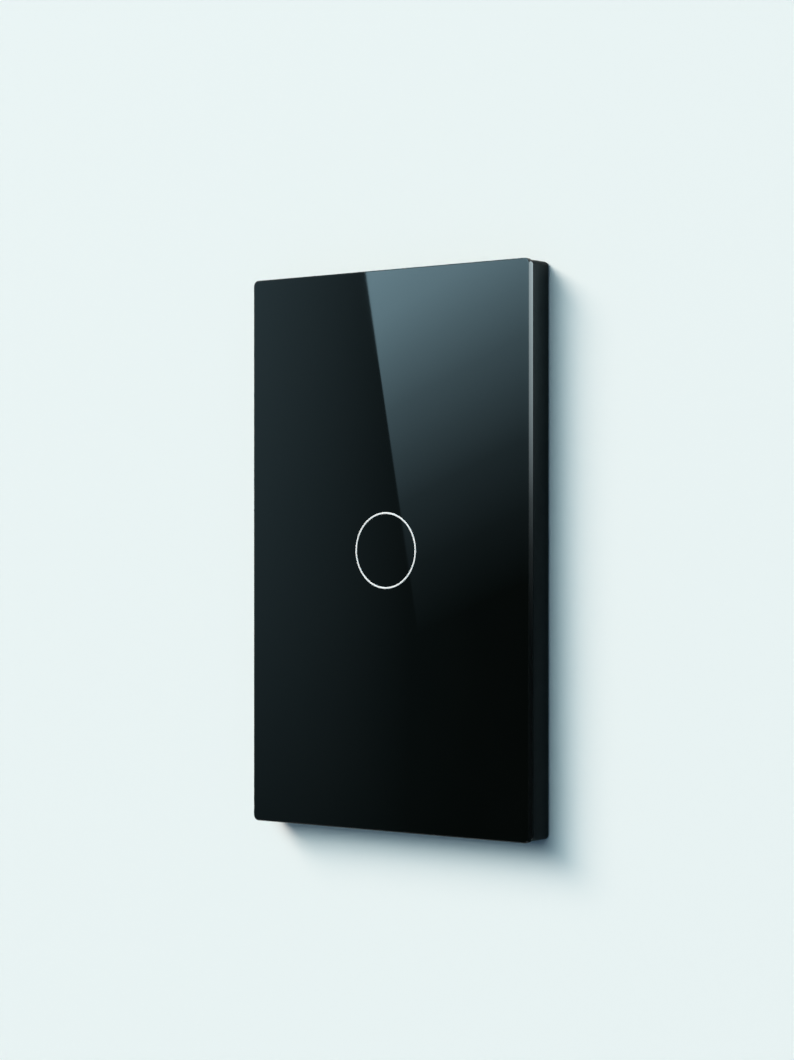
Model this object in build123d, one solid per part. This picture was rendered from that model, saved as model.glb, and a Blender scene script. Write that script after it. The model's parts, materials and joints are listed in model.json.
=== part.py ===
from build123d import *
import os

os.makedirs("parts", exist_ok=True)

# A touch light switch for a single wall box: a glass panel on a snap-off frame, a base with its
# touch board, and a housing in the wall with a relay, its supply and three screw terminals.
# Millimetres. X runs right, Y into the wall, Z up. The origin is the panel's centre on the wall.

# Front panel, glass front to wall
panel_width = 74.6
panel_height = 120.0
panel_depth = 7.7
panel_corner = 1.3
glass_thickness = 1.65
glass_arris = 0.2
adhesive_thickness = 0.25
adhesive_inset = 0.6
adhesive_band = 6.0
frame_inset = 0.2
frame_web = 1.0
skirt_wall = 1.8
wall_gap = 0.3
pry_notch_width = 12.0
pry_notch_height = 1.4

# Ring inlaid in the glass, over the touch field
ring_radius = 8.0
ring_line = 0.4
ring_depth = 0.12

# Spring clips that hold the panel on its base
clip_thickness = 0.3
clip_width = 8.0
clip_height = 30.0
clip_bump = 0.7
clip_bump_rise = 1.0
clip_play = 0.2
clip_end_gap = 0.5

# Base that stays on the wall
base_gap = 0.4
base_wall = 1.6
base_web = 1.2
base_rim_gap = 0.4
base_wall_gap = 0.1
base_window_gap = 1.0
recess_border = 5.0
recess_depth = 0.3

# Steel mounting plate, and the two screws into the wall box
plate_side_gap = 1.3
plate_end_gap = 3.5
plate_thickness = 1.2
plate_corner = 4.0
plate_play = 0.3
box_screw_gap = 8.15
box_screw_radius = 1.75
box_screw_reach = 24.0
box_screw_head_radius = 3.3
box_screw_head = 1.8
box_screw_neck_radius = 1.5
box_screw_neck_end = 0.4
box_screw_access_play = 0.3
retainer_length = 7.4
retainer_width = 4.8
retainer_flange = 0.4
retainer_lip = 0.8
screw_play = 0.05

# Housing in the wall
housing_width = 45.0
housing_height = 67.0
housing_depth = 27.0
housing_wall = 2.2
housing_corner = 2.5
flange_side = 5.0
flange_end = 4.0
flange_thickness = 1.2
vent_count = 5
vent_width = 1.2
vent_length = 9.0
vent_spacing = 3.4
vent_from_top = 12.0
vent_start = 7.0
back_edge = 1.0
guard_rib_width = 1.0
guard_rib_height = 1.0
guard_rib_length = 9.0
back_field_width = 30.0
back_field_height = 22.0
back_field_depth = 0.3
back_field_up = 6.0
entry_funnel = 0.5

# Screws that clamp base, flange and plate together
clamp_screw_radius = 1.25
clamp_screw_head_radius = 2.3
clamp_screw_head = 1.2
clamp_screw_sink = 0.4
clamp_screw_end_gap = 0.1
clamp_screw_from_edge = 2.3
clamp_screw_height = 56.0

# Touch board and what it carries
board_thickness = 1.2
board_play = 0.3
board_ledge = 1.0
spring_wire = 0.45
spring_turns = 3
spring_foot_radius = 5.0
spring_head_radius = 4.0
spring_glass_gap = 0.12
spring_board_gap = 0.02
guide_outer = 9.0
guide_inner = 6.8
guide_height = 2.6
guide_glass_gap = 0.15
guide_leg_radius = 0.6
guide_leg_count = 3
led_size = 1.6
led_height = 0.7
chip_length = 4.9
chip_width = 3.9
chip_height = 1.4
chip_from_centre = 13.0
chip_lead_spacing = 1.27
chip_lead_width = 0.42
chip_lead_reach = 1.05
chip_lead_thickness = 0.2
chip_well_gap = 1.0

# Radio module on the back of the touch board
radio_width = 15.0
radio_height = 17.0
radio_board = 0.8
radio_up = 8.0
radio_antenna = 4.0
shield_margin = 1.2
shield_height = 2.0

# Header between the two boards
header_width = 2.5
header_pin_count = 6
header_pin_spacing = 2.54
header_pin_radius = 0.3
header_pin_end = 0.6
header_from_edge = 2.0
header_up = 0.0

# Power board
power_board_thickness = 1.6
power_board_front = 7.0
power_board_play = 0.3
post_radius = 2.4
board_screw_radius = 1.0
board_screw_head_radius = 1.9
board_screw_head = 1.1
board_screw_length = 6.0
part_gap = 1.5
edge_margin = 1.0
lead_radius = 0.4
lead_end = 0.8

# Terminals: a fixed bar, and a cage that its screw draws up to it
terminal_spacing = 12.0
terminal_count = 3
terminal_screw_radius = 1.5
terminal_head_radius = 2.6
terminal_head = 1.6
terminal_head_play = 0.2
driver_hole_radius = 2.2
cage_width = 7.0
cage_side = 0.8
cage_floor = 1.0
cage_nut = 2.0
cage_length = 6.0
cage_play = 0.3
cage_travel = 3.5
least_wire = 1.0
bar_thickness = 1.0
bar_play = 0.2
entry_wall = 1.6
entry_side_gap = 0.1
stop_wall = 1.6
block_front = 1.2
block_rear = 2.0
block_side = 1.6
floor_play = 0.2
leg_gap = 0.5
leg_pin_radius = 0.6

# Relay
relay_width = 10.2
relay_length = 18.4
relay_height = 15.2
relay_wall = 0.7
relay_base = 1.2
relay_case_lift = 0.3
relay_side_gap = 0.5
yoke_thickness = 1.2
yoke_width = 7.0
yoke_gap = 0.1
core_radius = 1.8
core_length = 9.2
bobbin_flange = 8.0
bobbin_flange_thickness = 0.7
bobbin_tube = 0.7
bobbin_pole_gap = 0.8
winding_thickness = 1.3
armature_gap = 0.5
armature_thickness = 1.0
leaf_thickness = 0.25
leaf_width = 4.0
contact_radius = 1.0
contact_height = 1.1
contact_gap = 1.0
contact_button = 0.6
contact_strip = 0.5
contact_strip_width = 4.0
contact_end_gap = 0.8
relay_pin_radius = 0.5

# Supply parts on the power board
film_length = 13.0
film_width = 5.0
film_height = 11.0
transformer_width = 16.0
transformer_length = 13.0
transformer_base = 2.0
ferrite_width = 13.0
ferrite_height = 11.0
ferrite_depth = 6.0
ferrite_leg = 4.0
ferrite_side = 1.9
ferrite_end = 1.8
coil_side_gap = 0.2
coil_overhang = 2.2
capacitor_radius = 4.0
capacitor_height = 12.0
capacitor_groove = 0.4
capacitor_groove_up = 1.6
varistor_radius = 5.0
varistor_thickness = 4.0
varistor_edge = 0.8
fuse_length = 8.0
fuse_width = 4.0
fuse_from_top = 11.1
fuse_height = 7.5
rectifier_width = 5.0
rectifier_length = 6.4
rectifier_height = 2.5
chip_part_length = 2.0
chip_part_width = 1.2
chip_part_height = 0.6
chip_part_columns = 5
chip_part_rows = 3
chip_part_spacing_x = 4.0
chip_part_spacing_z = 2.6

# Depths, from the glass front at the lowest Y to the housing's back
glass_front = -panel_depth
glass_back = glass_front + glass_thickness
web_front = glass_back + adhesive_thickness
web_back = web_front + frame_web
skirt_back = -wall_gap
base_rim_front = web_back + base_rim_gap
plate_front = -plate_thickness
flange_front = plate_front - flange_thickness
base_front = flange_front - base_web
board_front = flange_front
board_back = board_front + board_thickness
power_front = power_board_front
power_back = power_front + power_board_thickness
cavity_back = housing_depth - housing_wall

# Widths and heights that follow from the ones above
frame_width = panel_width - 2 * frame_inset
frame_height = panel_height - 2 * frame_inset
frame_corner = panel_corner - frame_inset
inside_width = frame_width - 2 * skirt_wall
inside_height = frame_height - 2 * skirt_wall
base_width = inside_width - 2 * base_gap
base_height = inside_height - 2 * base_gap
inner_width = base_width - 2 * base_wall
inner_height = base_height - 2 * base_wall
plate_width = inner_width - 2 * plate_side_gap
plate_height = inner_height - 2 * plate_end_gap
flange_width = housing_width + 2 * flange_side
flange_height = housing_height + 2 * flange_end
cavity_width = housing_width - 2 * housing_wall
cavity_height = housing_height - 2 * housing_wall
pocket_width = cavity_width + 2 * board_ledge
pocket_height = cavity_height + 2 * board_ledge
board_width = pocket_width - 2 * board_play
board_height = pocket_height - 2 * board_play
power_board_width = cavity_width - 2 * power_board_play
power_board_height = cavity_height - 2 * power_board_play
window_radius = guide_outer + base_window_gap

# Terminal depths and heights
block_bottom = -cavity_height / 2
cell_bottom = block_bottom + entry_wall
cell_length = cage_length + 2 * cage_play
cell_top = cell_bottom + cell_length
block_top = cell_top + stop_wall
cell_front = power_back + block_front
cage_front = cell_front + floor_play
wire_front = cage_front + cage_floor
bar_front = wire_front + cage_travel + least_wire
bar_back = bar_front + bar_thickness
nut_front = bar_back + cage_play
nut_back = nut_front + cage_nut
screw_head_back = cavity_back - terminal_head_play
screw_head_front = screw_head_back - terminal_head
block_back_wall = cavity_back - block_rear
cell_width = cage_width + 2 * cage_play
bar_width = cage_width - 2 * cage_side - 2 * bar_play
entry_width = cage_width - 2 * cage_side - 2 * entry_side_gap
block_width = terminal_spacing * (terminal_count - 1) + cell_width + 2 * block_side
leg_bottom = block_top + leg_gap
leg_top = leg_bottom + bar_thickness
terminal_places = [(i - (terminal_count - 1) / 2) * terminal_spacing for i in range(terminal_count)]

# Rows of parts on the power board: two from the terminals up, the fuse's row from the top down
row_a = leg_top + part_gap
row_b = row_a + transformer_length + part_gap
row_c = power_board_height / 2 - fuse_from_top - fuse_width
left_edge = -power_board_width / 2 + edge_margin
relay_x = left_edge + relay_width / 2
film_x = left_edge + film_length / 2
transformer_x = left_edge + film_length + part_gap + transformer_width / 2
transformer_z = row_a + transformer_length / 2
rectifier_x = left_edge + relay_width + part_gap + rectifier_width / 2
varistor_x = rectifier_x + rectifier_width / 2 + part_gap + varistor_thickness / 2
capacitor_x = varistor_x + varistor_thickness / 2 + part_gap + capacitor_radius
capacitor_places = [row_b + capacitor_radius + i * (2 * capacitor_radius + part_gap) for i in range(2)]
fuse_x = left_edge + relay_width + part_gap + fuse_length / 2

# Relay depths and heights
relay_inside = power_back + relay_base
foot_back = relay_inside + yoke_thickness
pole_back = foot_back + core_length
yoke_low = row_b + relay_wall + relay_side_gap
coil_z = yoke_low + yoke_thickness + bobbin_flange / 2
yoke_high = coil_z + bobbin_flange / 2
bobbin_back = pole_back - bobbin_pole_gap
armature_front = pole_back + armature_gap
armature_back = armature_front + armature_thickness
relay_inner_top = row_b + relay_length - relay_wall
contact_z = relay_inner_top - contact_end_gap - contact_strip - contact_radius
moving_contact_front = armature_back - contact_height
fixed_contact_back = moving_contact_front - contact_gap

# Screw and post places
box_screw_access = retainer_length / 2 + retainer_lip + box_screw_access_play
box_screw_place = housing_height / 2 + box_screw_gap
box_screw_places = [-box_screw_place, box_screw_place]
clamp_screw_x = flange_width / 2 - clamp_screw_from_edge
clamp_screw_seat = base_front + recess_depth + clamp_screw_sink
clamp_screw_places = [(x, z) for x in (-clamp_screw_x, clamp_screw_x)
                      for z in (-clamp_screw_height / 2, clamp_screw_height / 2)]
post_x = cavity_width / 2 - post_radius
post_z = cavity_height / 2 - post_radius
post_places = [(-post_x, post_z), (post_x, post_z)]
header_x = power_board_width / 2 - header_from_edge - header_width / 2
header_low = header_up - (header_pin_count - 1) / 2 * header_pin_spacing
header_places = [header_low + i * header_pin_spacing for i in range(header_pin_count)]


def block(x, y, z):
    """A box from its low and high value on each axis."""
    middle = Pos((x[0] + x[1]) / 2, (y[0] + y[1]) / 2, (z[0] + z[1]) / 2)
    return middle * Box(x[1] - x[0], y[1] - y[0], z[1] - z[0])


def about(middle, size):
    """The low and high value of a stretch with this middle."""
    return (middle - size / 2, middle + size / 2)


def slab(width, height, y, corner=0, at=(0, 0)):
    """A flat plate parallel to the wall, with rounded corners, between two depths."""
    outline = RectangleRounded(width, height, corner) if corner else Rectangle(width, height)
    return Pos(at[0], y[1], at[1]) * (Rot(90, 0, 0) * extrude(outline, y[1] - y[0]))


def rod(x, z, radius, y):
    """A round bar square to the wall, between two depths."""
    return Pos(x, (y[0] + y[1]) / 2, z) * Rot(90, 0, 0) * Cylinder(radius, y[1] - y[0])


def tube(x, z, outer, inner, y):
    """A round sleeve square to the wall."""
    return rod(x, z, outer, y) - rod(x, z, inner, y)


def slot(length, width, y, at):
    """A slot's solid, lying along X, between two depths."""
    outline = SlotOverall(length, width)
    return Pos(at[0], y[1], at[1]) * (Rot(90, 0, 0) * extrude(outline, y[1] - y[0]))


def cross_recess(x, z, reach, width, y):
    """The cross cut in a screw's head."""
    return (block(about(x, 2 * reach), y, about(z, width))
            + block(about(x, width), y, about(z, 2 * reach)))


def round_edges(shape, axis, radius):
    """The shape with its edges along one axis rounded."""
    return fillet(shape.edges().filter_by(axis), radius)


def glass_panel():
    """Black glass with a ground edge, and the groove that holds the ring."""
    glass = slab(panel_width, panel_height, (glass_front, glass_back), panel_corner)
    faces = glass.faces().sort_by(Axis.Y)
    glass = chamfer(faces[0].edges() + faces[-1].edges(), glass_arris)
    return glass - ring_solid()


def ring_solid():
    """The thin pale ring, flush with the glass."""
    outer = ring_radius + ring_line / 2
    inner = ring_radius - ring_line / 2
    return tube(0, 0, outer, inner, (glass_front, glass_front + ring_depth))


def panel_adhesive():
    """Foam tape round the edge, between glass and frame."""
    width = panel_width - 2 * adhesive_inset
    height = panel_height - 2 * adhesive_inset
    y = (glass_back, web_front)
    band = 2 * adhesive_band
    return slab(width, height, y, panel_corner) - slab(width - band, height - band, y, panel_corner)


def clip_places():
    """Side and height of each spring clip."""
    return [(side, z) for side in (-1, 1) for z in (-clip_height, clip_height)]


def panel_frame():
    """The frame glued to the glass: a thin web with a skirt round it."""
    frame = slab(frame_width, frame_height, (web_front, skirt_back), frame_corner)
    frame -= slab(inside_width, inside_height, (web_back, skirt_back), frame_corner)
    frame -= rod(0, 0, window_radius, (web_front, web_back))
    notch_y = (skirt_back - pry_notch_height, skirt_back)
    bottom = -frame_height / 2
    frame -= block(about(0, pry_notch_width), notch_y, (bottom, bottom + skirt_wall))
    return frame


def clip_bump_middle():
    """Depth of the clips' bump and of the grooves that it snaps into."""
    return (base_rim_front + skirt_back) / 2


def panel_clips():
    """Four leaf springs inside the skirt, each with a bump that snaps into the base."""
    clips = []
    for side, z in clip_places():
        outer = side * inside_width / 2
        inner = outer - side * clip_thickness
        tip = inner - side * clip_bump
        height = about(z, clip_width)
        leaf = block(sorted((inner, outer)), (web_back, skirt_back - clip_end_gap), height)
        bump = block(sorted((tip, inner)), about(clip_bump_middle(), clip_bump_rise), height)
        corners = bump.edges().filter_by(Axis.Z).sort_by(Axis.X)
        bump = chamfer(corners[:2] if side > 0 else corners[-2:], clip_bump_rise / 3)
        clips.append((leaf + bump).solid())
    return Compound(clips)


def base_frame():
    """The black base: a rim round the plate, and a web over the housing's flange."""
    rim = (base_rim_front, -base_wall_gap)
    corner = frame_corner
    base = slab(base_width, base_height, rim, corner)
    base -= slab(inner_width, inner_height, (base_rim_front, base_front), corner)
    base -= slab(plate_width + 2 * plate_play, plate_height + 2 * plate_play,
                 (plate_front, -base_wall_gap), plate_corner)
    base -= slab(flange_width + 2 * plate_play, flange_height + 2 * plate_play,
                 (flange_front, plate_front))
    base -= slab(inner_width - 2 * recess_border, inner_height - 2 * recess_border,
                 (base_front, base_front + recess_depth), corner)
    base -= rod(0, 0, window_radius, (base_front, flange_front))
    well = chip_length + 2 * chip_lead_reach + 2 * chip_well_gap
    base -= slab(chip_width + 2 * chip_lead_reach + 2 * chip_well_gap, well,
                 (base_front, flange_front), at=(0, -chip_from_centre))
    for z in box_screw_places:
        base -= rod(0, z, box_screw_access, (base_front, plate_front))
    for x, z in clamp_screw_places:
        base -= rod(x, z, clamp_screw_radius, (base_front, flange_front))
        base -= rod(x, z, clamp_screw_head_radius, (base_front, clamp_screw_seat))
    for side, z in clip_places():
        face = side * base_width / 2
        floor = face - side * (clip_bump - base_gap + clip_thickness + clip_play)
        base -= block(sorted((floor, face)), about(clip_bump_middle(), clip_bump_rise + 2 * clip_play),
                      about(z, clip_width + 2 * clip_play))
    return base


def mounting_plate():
    """Steel plate against the wall, open where the housing passes."""
    thickness = (plate_front, 0)
    plate = slab(plate_width, plate_height, thickness, plate_corner)
    plate -= slab(housing_width + 2 * plate_play, housing_height + 2 * plate_play, thickness,
                  housing_corner)
    for z in box_screw_places:
        plate -= slot(retainer_length, retainer_width, thickness, (0, z))
    for x, z in clamp_screw_places:
        plate -= rod(x, z, clamp_screw_radius, thickness)
    return plate


def screw_retainers():
    """Nylon grommets in the plate's slots, which keep the box screws from falling out."""
    grommets = []
    lip = 2 * retainer_lip
    for z in box_screw_places:
        body = slot(retainer_length, retainer_width, (plate_front, 0), (0, z))
        body += slot(retainer_length + lip, retainer_width + lip,
                     (plate_front - retainer_flange, plate_front), (0, z))
        body -= rod(0, z, box_screw_neck_radius + screw_play, (plate_front - retainer_flange, 0))
        grommets.append(body.solid())
    return Compound(grommets)


def mounting_screw(z):
    """One long screw into the wall box, with a thin neck that its grommet holds."""
    seat = plate_front - retainer_flange
    head_front = seat - box_screw_head
    head = rod(0, z, box_screw_head_radius, (head_front, seat))
    head = chamfer(head.edges().sort_by(Axis.Y)[0], box_screw_head / 3)
    screw = head + rod(0, z, box_screw_neck_radius, (seat, box_screw_neck_end))
    screw += rod(0, z, box_screw_radius, (box_screw_neck_end, box_screw_reach))
    recess = (head_front, head_front + box_screw_head / 2)
    return screw - cross_recess(0, z, box_screw_radius, box_screw_radius / 2, recess)


def clamp_screws():
    """Four short screws through base and flange into the plate."""
    screws = []
    seat = clamp_screw_seat
    recess = (seat - clamp_screw_head, seat - clamp_screw_head / 2)
    for x, z in clamp_screw_places:
        head = rod(x, z, clamp_screw_head_radius, (seat - clamp_screw_head, seat))
        head = chamfer(head.edges().sort_by(Axis.Y)[0], clamp_screw_head / 3)
        screw = head + rod(x, z, clamp_screw_radius, (seat, -clamp_screw_end_gap))
        screw -= cross_recess(x, z, clamp_screw_radius, clamp_screw_radius / 2, recess)
        screws.append(screw.solid())
    return Compound(screws)


def rear_housing():
    """The box in the wall, with its flange, board ledge, posts, vents and wire entries."""
    housing = slab(housing_width, housing_height, (flange_front, housing_depth), housing_corner)
    housing = chamfer(housing.faces().sort_by(Axis.Y)[-1].edges(), back_edge)
    housing += slab(flange_width, flange_height, (flange_front, plate_front))
    housing -= slab(pocket_width, pocket_height, (flange_front, board_back))
    housing -= slab(cavity_width, cavity_height, (board_back, cavity_back))
    for x, z in post_places:
        post = block(about(x, 2 * post_radius), (power_back, cavity_back), about(z, 2 * post_radius))
        housing += post - rod(x, z, board_screw_radius, (power_back, power_front + board_screw_length))
    for x, z in clamp_screw_places:
        housing -= rod(x, z, clamp_screw_radius, (flange_front, plate_front))
    for side in (-1, 1):
        wall = sorted((side * cavity_width / 2, side * housing_width / 2))
        for i in range(vent_count):
            z = cavity_height / 2 - vent_from_top - i * vent_spacing
            housing -= block(wall, (vent_start, vent_start + vent_length), about(z, vent_width))
    for x in terminal_places:
        housing -= block(about(x, entry_width), (wire_front, bar_front),
                         (-housing_height / 2, block_bottom))
        housing -= entry_mouth(x)
        housing -= rod(x, screw_z(), driver_hole_radius, (cavity_back, housing_depth))
    housing -= slab(back_field_width, back_field_height, (housing_depth - back_field_depth, housing_depth),
                    housing_corner, at=(0, back_field_up))
    for x in guard_rib_places():
        housing += block(about(x, guard_rib_width), (housing_depth, housing_depth + guard_rib_height),
                         about(screw_z(), guard_rib_length))
    return housing


def entry_mouth(x):
    """The funnel at a wire entry's mouth."""
    low = -housing_height / 2
    centre = (x, (wire_front + bar_front) / 2)
    size = (entry_width, bar_front - wire_front)
    mouth = Plane(origin=(centre[0], centre[1], low), z_dir=(0, 0, 1))
    throat = Plane(origin=(centre[0], centre[1], low + entry_funnel), z_dir=(0, 0, 1))
    wide = mouth * Rectangle(size[0] + 2 * entry_funnel, size[1] + 2 * entry_funnel)
    narrow = throat * Rectangle(*size)
    return loft([wide.face(), narrow.face()])


def guard_rib_places():
    """Places of the ribs between and beside the terminal screws."""
    half = terminal_spacing / 2
    return [terminal_places[0] - half] + [x + half for x in terminal_places]


def screw_z():
    """Height of the terminal screws: the middle of their cages."""
    return cell_bottom + cell_length / 2


def touch_board():
    """The board behind the base, with holes for the guide's legs and the header."""
    board = slab(board_width, board_height, (board_front, board_back))
    for x, z in guide_leg_places():
        board -= rod(x, z, guide_leg_radius, (board_front, board_back))
    for z in header_places:
        board -= rod(header_x, z, header_pin_radius, (board_front, board_back))
    return board


def guide_leg_places():
    """Places of the light guide's legs, round the touch field."""
    middle = (guide_outer + guide_inner) / 2
    return [(p.X, p.Y) for p in (Vector(0, middle).rotate(Axis.Z, i * 360 / guide_leg_count)
                                 for i in range(guide_leg_count))]


def led_places():
    """Places of the lamps, between the guide's legs."""
    middle = (guide_outer + guide_inner) / 2
    return [(p.X, p.Y) for p in (Vector(0, middle).rotate(Axis.Z, (i + 0.5) * 360 / guide_leg_count)
                                 for i in range(guide_leg_count))]


def light_guide():
    """Clear ring behind the glass, on legs in the board."""
    front = glass_back + guide_glass_gap
    back = front + guide_height
    guide = tube(0, 0, guide_outer, guide_inner, (front, back))
    for x, z in guide_leg_places():
        guide += rod(x, z, guide_leg_radius, (back, board_back))
    return guide


def status_lamps():
    """Small lamps on the board under the guide."""
    y = (board_front - led_height, board_front)
    return Compound([block(about(x, led_size), y, about(z, led_size)) for x, z in led_places()])


def touch_spring():
    """The coil that carries the touch from the glass to the board, in half turns."""
    foot = board_front - spring_board_gap - spring_wire / 2
    head = glass_back + spring_glass_gap + spring_wire / 2
    halves = 2 * spring_turns
    points = []
    for i in range(halves + 1):
        share = i / halves
        radius = spring_foot_radius + (spring_head_radius - spring_foot_radius) * share
        points.append(Vector(radius if i % 2 == 0 else -radius, foot + (head - foot) * share, 0))
    arcs = []
    for i in range(halves):
        middle = (points[i] + points[i + 1]) / 2
        reach = (points[i + 1] - points[i]).length / 2
        top = middle + Vector(0, 0, reach if i % 2 == 0 else -reach)
        arcs.append(ThreePointArc(points[i], top, points[i + 1]))
    path = Wire(arcs)
    samples = [path @ (i / (halves * 24)) for i in range(halves * 24 + 1)]
    gap = min((a - b).length for i, a in enumerate(samples) for b in samples[i + 24:]) - spring_wire
    print("least gap between the spring's turns", round(gap, 3))
    section = Plane(origin=points[0], z_dir=(0, 0, 1)) * Circle(spring_wire / 2)
    return sweep(section, path=path)


def touch_controller():
    """The touch chip's body."""
    y = (board_front - chip_height, board_front - chip_lead_thickness)
    body = block(about(0, chip_width), y, about(-chip_from_centre, chip_length))
    return chamfer(body.edges().group_by(Axis.Y)[0], chip_lead_thickness)


def touch_controller_leads():
    """The chip's eight leads, four a side."""
    leads = []
    for side in (-1, 1):
        near = side * chip_width / 2
        far = near + side * chip_lead_reach
        for i in range(4):
            z = -chip_from_centre + (i - 1.5) * chip_lead_spacing
            flat = block(sorted((near, far)), (board_front - chip_lead_thickness, board_front),
                         about(z, chip_lead_width))
            rise = block(sorted((near, near + side * chip_lead_thickness)),
                         (board_front - chip_height / 2, board_front), about(z, chip_lead_width))
            leads.append((flat + rise).solid())
    return Compound(leads)


def radio_module():
    """The radio's own small board."""
    return block(about(0, radio_width), (board_back, board_back + radio_board),
                 (radio_up, radio_up + radio_height))


def radio_shield():
    """The radio's metal cover, clear of its antenna."""
    y = (board_back + radio_board, board_back + radio_board + shield_height)
    shield = block(about(0, radio_width - 2 * shield_margin), y,
                   (radio_up + shield_margin, radio_up + radio_height - radio_antenna - shield_margin))
    return round_edges(shield, Axis.Y, shield_margin / 2)


def board_header():
    """The header's plastic body between the boards."""
    length = header_pin_count * header_pin_spacing
    body = block(about(header_x, header_width), (board_back, power_front), about(header_up, length))
    for z in header_places:
        body -= rod(header_x, z, header_pin_radius, (board_back, power_front))
    return body


def header_pin_row():
    """The header's pins, soldered in both boards."""
    y = (board_front, power_back + header_pin_end)
    return Compound([rod(header_x, z, header_pin_radius, y) for z in header_places])


def lead_places():
    """Where the supply parts' leads pass the power board."""
    places = [(film_x + s * film_length / 3, row_a + film_width / 2) for s in (-1, 1)]
    places += [(transformer_x + s * transformer_width / 3, transformer_z + t * transformer_length / 3)
               for s in (-1, 1) for t in (-1, 1)]
    places += [(capacitor_x + s * capacitor_radius / 2, z) for z in capacitor_places for s in (-1, 1)]
    places += [(varistor_x, row_b + varistor_radius + s * varistor_radius / 2) for s in (-1, 1)]
    places += [(fuse_x + s * fuse_length / 3, row_c + fuse_width / 2) for s in (-1, 1)]
    return places


def relay_pin_places():
    """The relay's five pins: two for the coil, three for the contacts."""
    low = row_b + relay_width / 4
    high = row_b + relay_length - relay_width / 4
    side = relay_width / 4
    return [(relay_x - side, low), (relay_x + side, low), (relay_x - side, high),
            (relay_x + side, high), (relay_x, coil_z)]


def power_board():
    """The power board, drilled for every lead, pin and screw."""
    y = (power_front, power_back)
    board = slab(power_board_width, power_board_height, y)
    for x, z in lead_places():
        board -= rod(x, z, lead_radius, y)
    for x, z in relay_pin_places():
        board -= rod(x, z, relay_pin_radius, y)
    for x in terminal_places:
        board -= rod(x, leg_bottom + bar_thickness / 2, leg_pin_radius, y)
    for z in header_places:
        board -= rod(header_x, z, header_pin_radius, y)
    for x, z in post_places:
        board -= rod(x, z, board_screw_radius, y)
    return board


def board_screws():
    """Two screws that hold the power board on the housing's posts."""
    screws = []
    recess = (power_front - board_screw_head, power_front - board_screw_head / 2)
    for x, z in post_places:
        head = rod(x, z, board_screw_head_radius, (power_front - board_screw_head, power_front))
        head = chamfer(head.edges().sort_by(Axis.Y)[0], board_screw_head / 3)
        screw = head + rod(x, z, board_screw_radius, (power_front, power_front + board_screw_length))
        screw -= cross_recess(x, z, board_screw_radius, board_screw_radius / 2, recess)
        screws.append(screw.solid())
    return Compound(screws)


def component_leads():
    """Leads of the supply parts, from the part down through the board."""
    y = (power_front - lead_end, power_back)
    return Compound([rod(x, z, lead_radius, y) for x, z in lead_places()])


def surface_parts():
    """Chip resistors and capacitors on the power board's front."""
    parts = []
    for i in range(chip_part_columns):
        for j in range(chip_part_rows):
            x = (i - (chip_part_columns - 1) / 2) * chip_part_spacing_x
            z = row_c + fuse_width + part_gap + j * chip_part_spacing_z
            parts.append(block(about(x, chip_part_length), (power_front - chip_part_height, power_front),
                               about(z, chip_part_width)))
    return Compound(parts)


def film_capacitor():
    """Boxed film capacitor across the supply."""
    body = block(about(film_x, film_length), (power_back, power_back + film_height),
                 (row_a, row_a + film_width))
    return round_edges(body, Axis.Y, film_width / 8)


def transformer_base_part():
    """The transformer's pin base."""
    return block(about(transformer_x, transformer_width), (power_back, power_back + transformer_base),
                 about(transformer_z, transformer_length))


def ferrite_windows():
    """The two windows in the transformer's core, beside its middle leg."""
    front = power_back + transformer_base + ferrite_end
    back = power_back + transformer_base + ferrite_height - ferrite_end
    window = ferrite_width / 2 - ferrite_side - ferrite_leg / 2
    windows = []
    for side in (-1, 1):
        near = transformer_x + side * ferrite_leg / 2
        windows.append((sorted((near, near + side * window)), (front, back)))
    return windows


def transformer_core():
    """Ferrite core with two windows."""
    y = (power_back + transformer_base, power_back + transformer_base + ferrite_height)
    core = block(about(transformer_x, ferrite_width), y, about(transformer_z, ferrite_depth))
    for x, depth in ferrite_windows():
        core -= block(x, depth, about(transformer_z, ferrite_depth))
    return core


def transformer_winding():
    """Taped winding round the core's middle leg."""
    (left, depth), (right, _) = ferrite_windows()
    y = (depth[0] + coil_side_gap, depth[1] - coil_side_gap)
    coil = block((left[0] + coil_side_gap, right[1] - coil_side_gap), y,
                 about(transformer_z, ferrite_depth + 2 * coil_overhang))
    coil = round_edges(coil, Axis.Y, coil_overhang / 2)
    return coil - block(about(transformer_x, ferrite_leg), y, about(transformer_z, ferrite_depth))


def filter_capacitors():
    """Two can capacitors, each with the groove rolled in near its foot."""
    cans = []
    for z in capacitor_places:
        can = rod(capacitor_x, z, capacitor_radius, (power_back, power_back + capacitor_height))
        groove = Pos(capacitor_x, power_back + capacitor_groove_up, z) * Rot(90, 0, 0)
        cans.append((can - groove * Torus(capacitor_radius, capacitor_groove)).solid())
    return Compound(cans)


def varistor():
    """Disc varistor standing on its edge."""
    disc = Rot(0, 90, 0) * Cylinder(varistor_radius, varistor_thickness)
    disc = fillet(disc.edges().filter_by(GeomType.CIRCLE), varistor_edge)
    return Pos(varistor_x, power_back + varistor_radius, row_b + varistor_radius) * disc


def fuse():
    """Boxed fuse."""
    body = block(about(fuse_x, fuse_length), (power_back, power_back + fuse_height),
                 (row_c, row_c + fuse_width))
    return round_edges(body, Axis.Y, fuse_width / 4)


def rectifier():
    """Bridge rectifier."""
    y = (power_back, power_back + rectifier_height)
    body = block(about(rectifier_x, rectifier_width), y, (row_b, row_b + rectifier_length))
    return chamfer(body.edges().group_by(Axis.Y)[-1], rectifier_height / 8)


def relay_base_part():
    """The relay's base on the board."""
    inner = 2 * relay_wall
    return block(about(relay_x, relay_width - inner), (power_back, relay_inside),
                 (row_b + relay_wall, relay_inner_top))


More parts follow.
